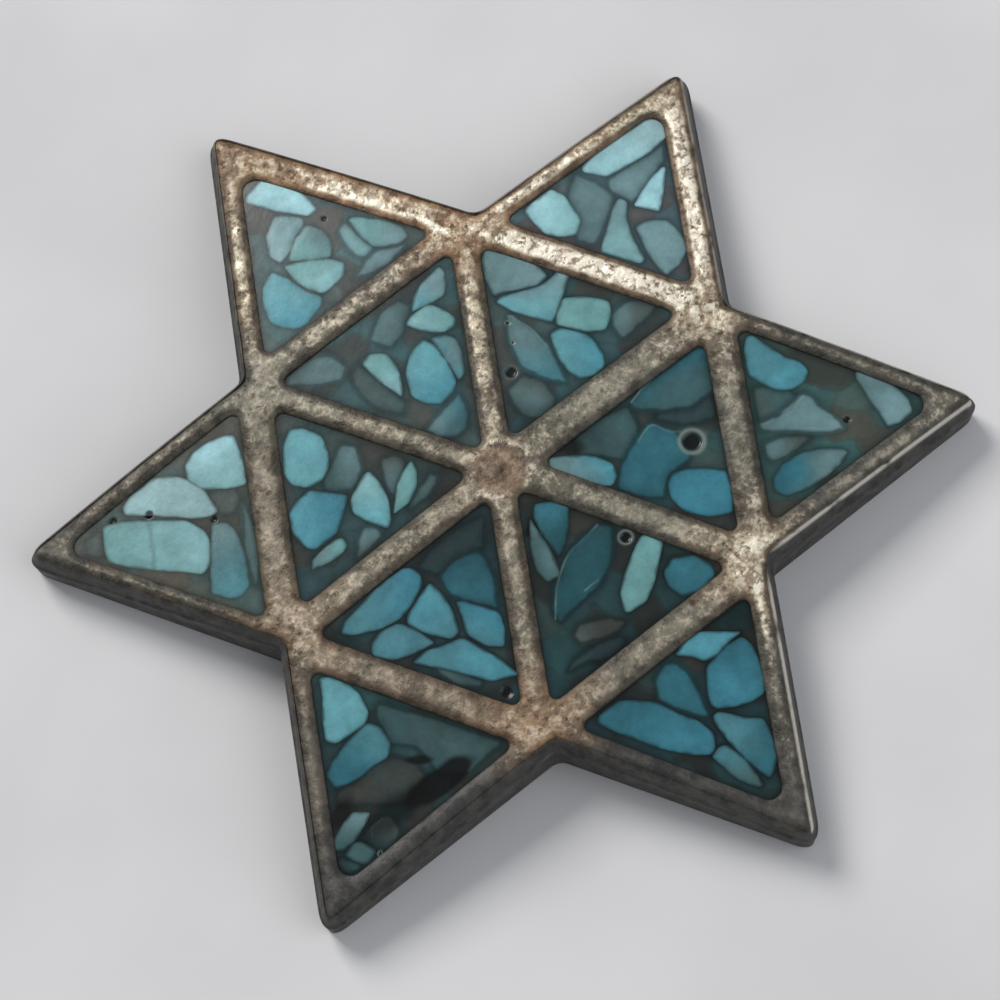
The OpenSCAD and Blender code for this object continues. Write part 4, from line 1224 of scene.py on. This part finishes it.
def bubbled(colour, plan, cell):
    """A colour with the cell's bubbles, holes darkened with painted shade in rings of painted highlight, and
    how far each point is in one.
    """
    sunk = np.zeros(plan.shape[:-1])
    for x, y, radius, bright in BUBBLES.get(cell, []):
        off = np.linalg.norm(plan - np.array([x, y]) * CELL_SIDE, axis=-1) / (radius * CELL_SIDE)
        # Painted highlight on the bubble's rim, and painted shade in its hole
        colour = mixed(colour, BUBBLE_HIGHLIGHT, bright * 0.5 * bell(off - 1.3, 0.22))
        hole = smooth(1.15, 0.75, off)
        colour = colour * (1 - 0.93 * hole[..., None])
        sunk = np.maximum(sunk, hole)
    return colour, sunk


def shard(chip, cell):
    """A chip as a closed shard: a crowned top inside its outline, and its side down almost to the floor."""
    plan = chip.middle + (chip.outline - chip.middle) * CHIP_SHARES[:, None, None]
    inset = (1 - CHIP_SHARES)[:, None]
    z = dome(plan, RESIN_DROP + chip.depth) + ripple(plan, cell) + STAND
    z = z + CROWN_RISE * smooth(0.0, 0.5, inset)
    foot = chip.middle + (chip.outline - chip.middle) * FOOT_SHARES[:, None, None]
    plan, z = np.concatenate([foot, plan]), np.concatenate([dome(foot, CELL_DEPTH) + FOOT_GAP, z])
    colour = chip_colour(chip, plan, cell)
    for line in SPLITS.get(cell, []):
        colour = mixed(colour, gap_and_shade_tone(cell), 0.35 * bell(to_crack(plan, line, SPLIT_BEND, 92), SPLIT_W))
    return (*grid(in_star(plan, z, cell)), {"paint": bubbled(colour, plan, cell)[0]})


def resin_paint(cell, plan, chips, outline):
    """Paint and relief of a resin surface: smoke, sunk chips seen through it, painted shade between and round
    the chips, painted shadow along the walls and round sunk chips, bubbles with painted shade and highlights,
    pale cracks and painted edge highlights, and dark hollows."""
    colour, relief, shade_tone = smoke(plan, cell), ripple(plan, cell), gap_and_shade_tone(cell)
    for chip in sorted((c for c in chips if c.depth > SUNK), key=lambda c: -c.depth):
        blur = 0.04 + 0.8 * chip.depth
        away = from_rim(plan, chip.outline) + 0.15 * (grain(plan, 0.6, seed=81) - 0.5)
        # Painted shadow round the sunk chip
        colour = mixed(colour, shade_tone, 0.6 * bell(away, SHADOW_REACH))
        cover = smooth(blur, -blur, away - GROW) * (1 - chip.depth)
        colour = mixed(colour, chip_colour(chip, plan, cell), cover)
    # Painted shade in the narrow gaps between chips and round each chip
    away = np.sort([from_rim(plan, chip.outline) for chip in chips if chip.depth <= SUNK], axis=0)
    seam = np.exp(-(np.maximum(away[0], 0) + np.maximum(away[1], 0)) / SEAM_REACH)
    rim = np.exp(-np.maximum(away[0], 0) / RIM_REACH) * 0.8
    colour = mixed(colour, shade_tone, np.clip(seam + rim, 0, 1) * 0.9)
    # Painted shadow of the bars along the cell's walls
    colour = colour * (1 - 0.70 * np.exp(beyond(plan, outline) / WALL_SHADOW_REACH))[..., None]
    relief = relief - CHIP_DIP * smooth(-0.12, -0.22, away[0])
    # Pale cracks, and painted highlights along lit chip rims
    for line in CRACKS_AND_LIT_EDGES.get(cell, []):
        strength = 0.4 * grain(plan, 0.9, seed=93) * bell(to_crack(plan, line, CRACK_BEND, 91), CRACK_W)
        colour = mixed(colour, CRACK_AND_HIGHLIGHT_TONE, strength)
    colour, sunk = bubbled(colour, plan, cell)
    relief = relief - BUBBLE_DIP * sunk
    for x, y, half, wide, turn, depth, soft in HOLLOWS.get(cell, []):
        local = turned(plan - np.array([x, y]) * CELL_SIDE, -turn) / (np.array([half, wide]) * CELL_SIDE)
        off = np.linalg.norm(local, axis=-1) + 0.35 * (grain(plan, 0.7, seed=95) - 0.5)
        hole = depth * smooth(1 + soft, 1 - soft, off)
        colour = colour * (1 - hole[..., None])
        relief = relief - HOLLOW_DIP * hole
    return colour, relief


def resin_plan(outline, corners):
    """A square grid laid on the triangle of the corners, one side of it drawn together into the last
    corner, and squeezed towards the middle until its edge is the outline."""
    u, v = np.meshgrid(np.linspace(0, 1, RESIN_STEPS), np.linspace(0, 1, RESIN_STEPS))
    u, v = u[..., None], v[..., None]
    plan = (1 - v) * ((1 - u) * corners[0] + u * corners[1]) + v * corners[2]
    middle = corners.mean(0)

    def gauge(shape):
        """How far each point is from the middle, as a share of the way to the shape's edge."""
        out, reach = edges_of(shape)
        return (((plan - middle) @ out.T) / (reach - out @ middle)).max(-1)

    full, tiny = gauge(outline), 1e-6
    squeeze = gauge(corners) / np.maximum(full, tiny)
    return middle + (plan - middle) * np.where(full > tiny, squeeze, 1.0)[..., None]


def cell_corners(kind, outline):
    """Sharp corners of a cell in its own frame, anticlockwise: the crossings of its three walls."""
    faces = [30, 150, 270] if kind == "point" else [90, 210, 330]
    walls = [[face, (outline @ heading(face)).max()] for face in faces]
    return np.array([crossing(a, b) for a, b in zip(walls, walls[1:] + walls[:1])])


def resin_sheets(cell, chips):
    """The resin of a cell as a closed slab: its painted surface, its edge and its foot."""
    kind, k = cell
    outline = turned(OUTLINES[cell], FOLD * (k - 1))
    plan = resin_plan(outline, cell_corners(kind, outline))
    colour, relief = resin_paint(cell, plan, chips, outline)
    points = in_star(plan, dome(plan, RESIN_DROP) + relief, cell)
    edge, edge_colour = (np.concatenate([v[0, :-1], v[:-1, -1], v[::-1, 0][:-1]]) for v in (points, colour))
    middle = edge.mean(0)
    drop = [0, 0, CELL_DEPTH - RESIN_GAP - RESIN_DROP]
    centre = np.broadcast_to(middle - drop, edge.shape)
    foot = np.stack([edge, edge - drop, (middle + edge) / 2 - drop, centre])
    # Painted shade: the resin's edge and foot in the pocket take half of its surface's paint
    shaded_foot_paint = np.broadcast_to(edge_colour * 0.5, foot.shape)
    return [(*grid(points, closed=False), {"paint": colour}), (*grid(foot), {"paint": shaded_foot_paint})]


for cell in CELLS:
    kind, k = cell
    chips = [Chip(row) for row in CHIPS[cell]]
    piece(f"{kind}_stones_{k}", [shard(chip, cell) for chip in chips], f"{kind}_chips_{k}", STONE)
    piece(f"{kind}_filling_{k}", resin_sheets(cell, chips), f"{kind}_resin_{k}", RESIN)

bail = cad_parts["back_bail"]
bail.data.materials.clear()
bail.data.materials.append(BAIL_METAL)


# Floor, camera and lights

FLOOR_REACH = 1500 * MM


def floor():
    """A plain pale floor at the height of the back rim."""
    corners = [(x * FLOOR_REACH, y * FLOOR_REACH, 0) for x, y in ((-1, -1), (1, -1), (1, 1), (-1, 1))]
    mesh = bpy.data.meshes.new("floor")
    mesh.from_pydata(corners, [], [(0, 1, 2, 3)])
    s = Shader("floor")
    soft = s.noise(14.0, 3.0, 0.5, seed=9.0)
    tone = s.mix(s.step(soft, 0.3, 0.7), linear(214, 214, 216), linear(222, 222, 224))
    mesh.materials.append(s.finish({"Base Color": tone, "Roughness": 0.9}))
    shown("floor", mesh)


# Camera: distance and angles in degrees, found by fitting the star's bars to the photograph. Its roll is
# measured from a direction that is turned by half a fold from the star's own top point.
CAMERA_FAR = 239.7
CAMERA_TILT = 20.69
CAMERA_TURN = -58.9
CAMERA_ROLL = -9.13
AIM_SIDE = -0.033
AIM_UP = -0.234
LENS = 162.0
SENSOR_W = 36.0


def placed(made, right, up, back, place):
    """Puts an object at a place, with its own axes along the given directions."""
    columns = np.column_stack([right, up, back, place])
    made.matrix_world = Matrix(np.vstack([columns, [0, 0, 0, 1]]).tolist())


def spun(a, b, angle):
    """Two unit vectors at a right angle, turned by an angle in degrees from a towards b."""
    c, s = heading(angle)
    return c * a + s * b, c * b - s * a


def camera():
    """The camera at the photograph's angle. Gives its directions to the right and up."""
    flat, rise = heading(CAMERA_TURN), heading(CAMERA_TILT)
    away = np.array([rise[1] * flat[0], rise[1] * flat[1], rise[0]])
    forward = -away
    right = np.cross(forward, [*heading(90 + FOLD / 2), 0])
    right /= np.linalg.norm(right)
    right, up = spun(right, np.cross(right, forward), CAMERA_ROLL)
    right, forward = spun(right, forward, -AIM_SIDE)
    up, forward = spun(up, forward, -AIM_UP)
    place = CAMERA_FAR * away + np.array([0, 0, RIM_H])
    data = bpy.data.cameras.new("camera")
    data.lens = LENS
    data.sensor_width = SENSOR_W
    data.clip_start = 10 * MM
    made = shown("camera", data)
    placed(made, right, up, -forward, place * MM)
    bpy.context.scene.camera = made
    return right, up


def lamp(name, place, size, energy, tone):
    """A square soft light of a size in millimetres, facing the star."""
    data = bpy.data.lights.new(name, "AREA")
    data.size = size * MM
    data.energy = energy
    data.color = tone
    away = place / np.linalg.norm(place)
    side = np.cross([0.0, 0.1, 1.0], away)
    side /= np.linalg.norm(side)
    placed(shown(name, data), side, np.cross(away, side), away, place * MM)


# Lights: places to the camera's right, up its picture and above the floor, then size, energy and tone
LAMPS = {
    "key": (-900, 1080, 750, 780, 23.0, (1.0, 0.98, 0.95)),
    "fill": (960, -360, 1140, 1260, 6.0, (0.95, 0.97, 1.0))}

floor()
RIGHTWARD, UPWARD = camera()
for name, (aside, ahead, above, size, energy, tone) in LAMPS.items():
    lamp(name, aside * RIGHTWARD + ahead * UPWARD + np.array([0, 0, above]), size, energy, tone)

# Light of the studio from all sides
STUDIO_TONE = (0.92, 0.94, 0.97, 1)
STUDIO_STRENGTH = 0.30

world = bpy.data.worlds.new("studio")
world.use_nodes = True
world.node_tree.nodes["Background"].inputs["Color"].default_value = STUDIO_TONE
world.node_tree.nodes["Background"].inputs["Strength"].default_value = STUDIO_STRENGTH
bpy.context.scene.world = world
bpy.context.scene.view_settings.view_transform = "Standard"
